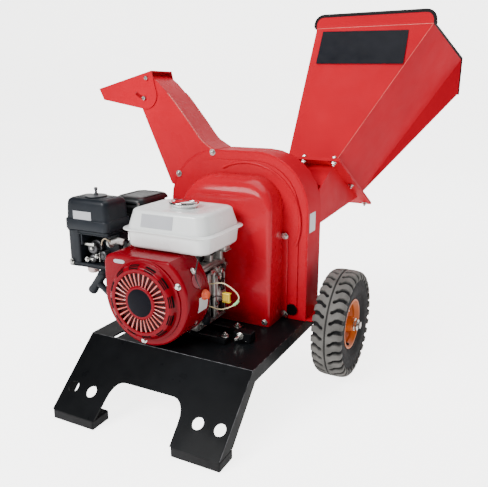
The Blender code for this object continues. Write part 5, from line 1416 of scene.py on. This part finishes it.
class CHIPPER_OT_hopper(bpy.types.Operator):
    """Painted fold highlights, flange bolts, bare name plate and rubber lip of the hopper"""

    bl_idname = "chipper.hopper"
    bl_label = "Hopper trim"
    flange = 5.0
    lip_centre_left, lip_centre_right, lip_depth, lip_level = 106, 409, 735.5, 955

    def execute(self, context):
        # Lighter red beads along the hopper's folds: painted highlights on the bent edges.
        folds = [
            swept(between(at(84.5, 733.4, 946), at(430, 733.4, 946), 20), 0.9, 8),
            swept(between(at(225, 517.6, 561.4), at(431, 733.6, 946), 20), 0.9, 8),
            swept(between(at(225.4, 784.6, 427.4), at(460.2, 1081, 861), 20), 0.9, 8),
        ]
        piece("hopper_folds", folds, "worn_red_edge")
        clear, wide = 1.7, 23.7
        quarter = np.radians(np.linspace(0, 90, 7))
        depth, level = self.lip_depth, self.lip_level
        rim = [
            (self.lip_centre_right + wide * math.cos(t), depth, level + wide * math.sin(t))
            for t in quarter]
        rim += [
            (self.lip_centre_left - wide * math.sin(t), depth, level + wide * math.cos(t))
            for t in quarter]
        slope = np.array([348.0, -84.0]) / math.hypot(348.0, 84.0)
        over = np.array([-slope[1], slope[0]]) * clear
        bend, start = (np.array([734.0, 946.0]) + slope * run + over for run in (10, 24))
        back, high, low = 1082 + clear, 862 + over[1], 752
        rim += [
            (84 - clear, depth, bend[1] + 4), (84 - clear, *bend), (85.5, *start),
            (85.5, back, high), (85.5, back, low)]
        rim += [
            (460.7, back, low), (460.7, back, high), (431, *start), (431 + clear, *bend),
            (431 + clear, depth, bend[1] + 4)]
        lap = [swept(between(at(*p), at(*q), 9), 2.5, 10) for p, q in zip(rim, rim[1:] + rim[:1])]
        piece("hopper_lip_seal", lap, "lip_rubber", sharp=60)
        corners = [at(107, 728, 936), at(108, 671, 841), at(368, 667, 836), at(366, 725, 930)]
        normal = np.cross(corners[2] - corners[1], corners[0] - corners[1])
        if normal[1] > 0:
            normal = -normal
        piece("hopper_plate", sheet(corners, 0.5, normal, 10, 0.8), "bare_black_plate")
        under = np.array([0.0, -0.447, -0.894])
        studs = []
        for x in (61, 149, 237):
            for share in (0.02, 0.5, 0.965) if x == 237 else (0.02, 0.965):
                spot = at(x, 480 + 365 * share, 579.5 - 182 * share)
                studs += bolt(spot - under * self.flange * MM, -under, 11, 5, True, 2)
                studs += bolt(spot + under * self.flange * MM, under, 11, 5, True, 4)
        piece("hopper_bolts", studs, "zinc_plate")
        return {"FINISHED"}


class CHIPPER_OT_deck(bpy.types.Operator):
    """Bolts on the stand and the engine's rails, and thin dark-steel strips along their edges"""

    bl_idname = "chipper.deck"
    bl_label = "Stand fittings"

    def execute(self, context):
        studs = []
        for node in ("rail_front", "rail_rear"):
            low, high = local(node)
            middle = (low[1] + high[1]) / 2
            for x in (low[0] + 12, high[0] - 10):
                studs += bolt(at(x, middle, high[2] - 0.2), UP, 12, 6, True, 3)
        low, high = local("tension_bracket")
        rod_x = (low[0] + high[0]) / 2 - 4
        studs += bolt(at(high[0] - 12, low[1] + 8, low[2] + 5), UP, 10, 5)
        rod = turned(at(rod_x, low[1] + 0.5, high[2] - 9), FRONT, stub(4, 24, 3, 25), 16)
        studs += [rod] + bolt(at(rod_x, low[1], high[2] - 9), FRONT, 12, 6)
        piece("deck_bolts", studs, "zinc_plate")
        # Thin dark-steel strips on the rail tops and along the deck's front bend and right side.
        worn = []
        for node in ("rail_front", "rail_rear"):
            low, high = local(node)
            worn.append(
                cushion(
                    (low[0] + 205, low[1] + 1.5, high[2] - 0.4),
                    (high[0] - 26, low[1] + 7.5, high[2] + 0.4), 0.3, 1.6))
        low, high = local("base_frame")
        front, foot, side = 0.0, 25.0, high[0] - 0.6
        edges = (
            ((low[0] + 1, front, high[2] - 0.5), (high[0] - 1, front, high[2] - 0.5)),
            ((side, front, high[2] - 1), (side, low[1] + 1, foot + 2)),
            ((side, 2, high[2] - 0.6), (side, 300, high[2] - 0.6)),
        )
        for start, end in edges:
            worn.append(swept(between(at(*start), at(*end), 6), 0.7, 6, 0.35, 31))
        piece("worn_edges", worn, "scuffed_edge_steel")
        return {"FINISHED"}


class CHIPPER_OT_engine_fittings(bpy.types.Operator):
    """Small fittings round the crankcase: column, bracket, springs, ribs and nuts"""

    bl_idname = "chipper.engine_fittings"
    bl_label = "Engine fittings"

    def execute(self, context):
        x = local("crankcase")[1][0]

        def block(near, far, edge, corner):
            """A rounded box with its places along x measured from the crankcase's side."""
            return cushion((x + near[0], *near[1:]), (x + far[0], *far[1:]), edge, corner)

        rough = [
            block((-2, 96, 186), (3, 226, 196), 1.4, 2.0),
            block((-2, 96, 328), (3, 226, 338), 1.4, 2.0),
            block((-2, 96, 190), (3, 104, 334), 1.4, 2.0),
            block((-2, 218, 190), (3, 226, 334), 1.4, 2.0),
            block((-3, 152, 196), (12, 172, 322), 3.0, 5.0),
            block((-3, 172, 196), (8, 182, 300), 2.0, 3.0),
            block((-3, 128, 262), (8, 150, 322), 2.5, 4.0),
            turned(
                at(x - 1, 198, 252), RIGHT, [(0, 0), (22, 0), (22, 6), (18, 9), (9, 10), (0, 10)],
                36),
            turned(at(x - 1, 116, 206), RIGHT, stub(11, 9, 9, 11), 24),
        ]
        rough += [
            block((-2, 108 + 11 * k, 200), (5, 111 + 11 * k, 250), 1.2, 1.4) for k in range(4)]
        rough.append(block((-24, 176, 346.4), (18, 196, 389), 3.0, 4.0))
        rough.append(block((-8, 168, 372), (34, 204, 388), 3.0, 5.0))
        rough.append(block((-22, 148, 346.4), (4, 168, 366), 3.0, 4.0))
        piece("crankcase_ribs", rough, "cast_alloy_skin")
        bright = []
        for z in (208, 236, 306):
            bright += bolt(at(x + 11.6, 162, z), RIGHT, 8, 4)
        for y, z in ((100, 200), (222, 200), (100, 324), (222, 324)):
            bright += bolt(at(x + 2.6, y, z), RIGHT, 9, 4)
        bright += bolt(at(x + 17.6, 186, 380), RIGHT, 9, 4)
        bright += bolt(at(x + 3, 192, 356), RIGHT, 8, 4)
        bright.append(block((8, 136, 318), (11, 190, 330), 1.0, 2.0))
        bright.append(block((8, 178, 292), (11, 188, 330), 1.0, 2.0))
        bright.append(turned(at(x + 10, 184, 318), RIGHT, stub(7, 7, 5, 8), 20))
        piece("crankcase_fittings", bright, "zinc_plate")
        # Dark blocks and a dark disc in the crankcase's recesses: painted shade.
        shade = [
            block((-1.5, 105, 196), (0.6, 217, 327), 0.6, 2.0),
            block((6, 186, 262), (14, 204, 292), 2.5, 4.0),
            block((-14, 150, 366), (6, 172, 388), 2.0, 3.0),
            turned(at(x + 4, 200, 320), RIGHT, stub(11, 8, 9, 10), 24),
        ]
        piece("crankcase_recess", shade, "oily_shadow")
        coils = []
        for start, end, width in (
            ((x + 14, 150, 336), (x + 6, 192, 300), 3.2), ((20, 190, 362), (46, 190, 362), 2.6)):
            a, z = at(*start), at(*end)
            turns = np.linspace(0, 2 * np.pi * 12, 220)
            u, v = square_to(z - a)[:2]
            core = a + (z - a) * (turns / turns[-1])[:, None]
            coils.append(
                swept(
                    core + width * MM * (np.cos(turns)[:, None] * u + np.sin(turns)[:, None] * v),
                    0.55, 5))
        piece("governor_springs", coils, "zinc_plate")
        lead = curved(
            [
                at(38, 96, 268), at(44, 108, 262), at(52, 120, 262), at(62, 124, 268),
                at(72, 118, 274), at(96, 107, 279)],
            30)
        piece("block_lead", [swept(lead, 1.3, 8)], "oiled_steel", slot="wire_black")
        low, high = local("cylinder")
        fins = []
        for k in range(7):
            level = low[2] + 24 + k * 11
            fins.append(
                cushion(
                    (low[0] + 22, low[1] - 4, level), (high[0] - 8, high[1] + 4, level + 3), 1.0, 8
                ))
        piece("cylinder_fins", fins, "cast_alloy_skin")
        return {"FINISHED"}


class CHIPPER_PT_sidebar(bpy.types.Panel):
    """Buttons for the pieces, then the sizes and colours they read"""

    bl_label = "Wood chipper"
    bl_idname = "CHIPPER_PT_sidebar"
    bl_space_type = "VIEW_3D"
    bl_region_type = "UI"
    bl_category = "Chipper"

    def draw(self, context):
        for maker in MAKERS:
            self.layout.operator(maker.bl_idname)
        for group in (
            context.scene.chipper_colours,
            context.scene.chipper_sizes,
            context.scene.chipper_stage,
        ):
            box = self.layout.box()
            for name in group.__annotations__:
                box.prop(group, name)


MAKERS = (
    CHIPPER_OT_stage, CHIPPER_OT_wires, CHIPPER_OT_finishes, CHIPPER_OT_wheels, CHIPPER_OT_recoil,
    CHIPPER_OT_shroud, CHIPPER_OT_tank, CHIPPER_OT_air_cleaner, CHIPPER_OT_muffler,
    CHIPPER_OT_belt_cover, CHIPPER_OT_casing, CHIPPER_OT_chute, CHIPPER_OT_hopper, CHIPPER_OT_deck,
    CHIPPER_OT_engine_fittings,
)
CLASSES = (ChipperColours, ChipperSizes, ChipperStage) + MAKERS + (CHIPPER_PT_sidebar,)


def register():
    for made in CLASSES:
        bpy.utils.register_class(made)
    bpy.types.Scene.chipper_colours = PointerProperty(type=ChipperColours)
    bpy.types.Scene.chipper_sizes = PointerProperty(type=ChipperSizes)
    bpy.types.Scene.chipper_stage = PointerProperty(type=ChipperStage)


def unregister():
    for name in ("chipper_colours", "chipper_sizes", "chipper_stage"):
        delattr(bpy.types.Scene, name)
    for made in reversed(CLASSES):
        bpy.utils.unregister_class(made)


def main():
    register()
    for maker in MAKERS:
        group, call = maker.bl_idname.split(".")
        if getattr(getattr(bpy.ops, group), call)() != {"FINISHED"}:
            raise RuntimeError(maker.bl_label + " did not finish")


if __name__ == "__main__":
    main()
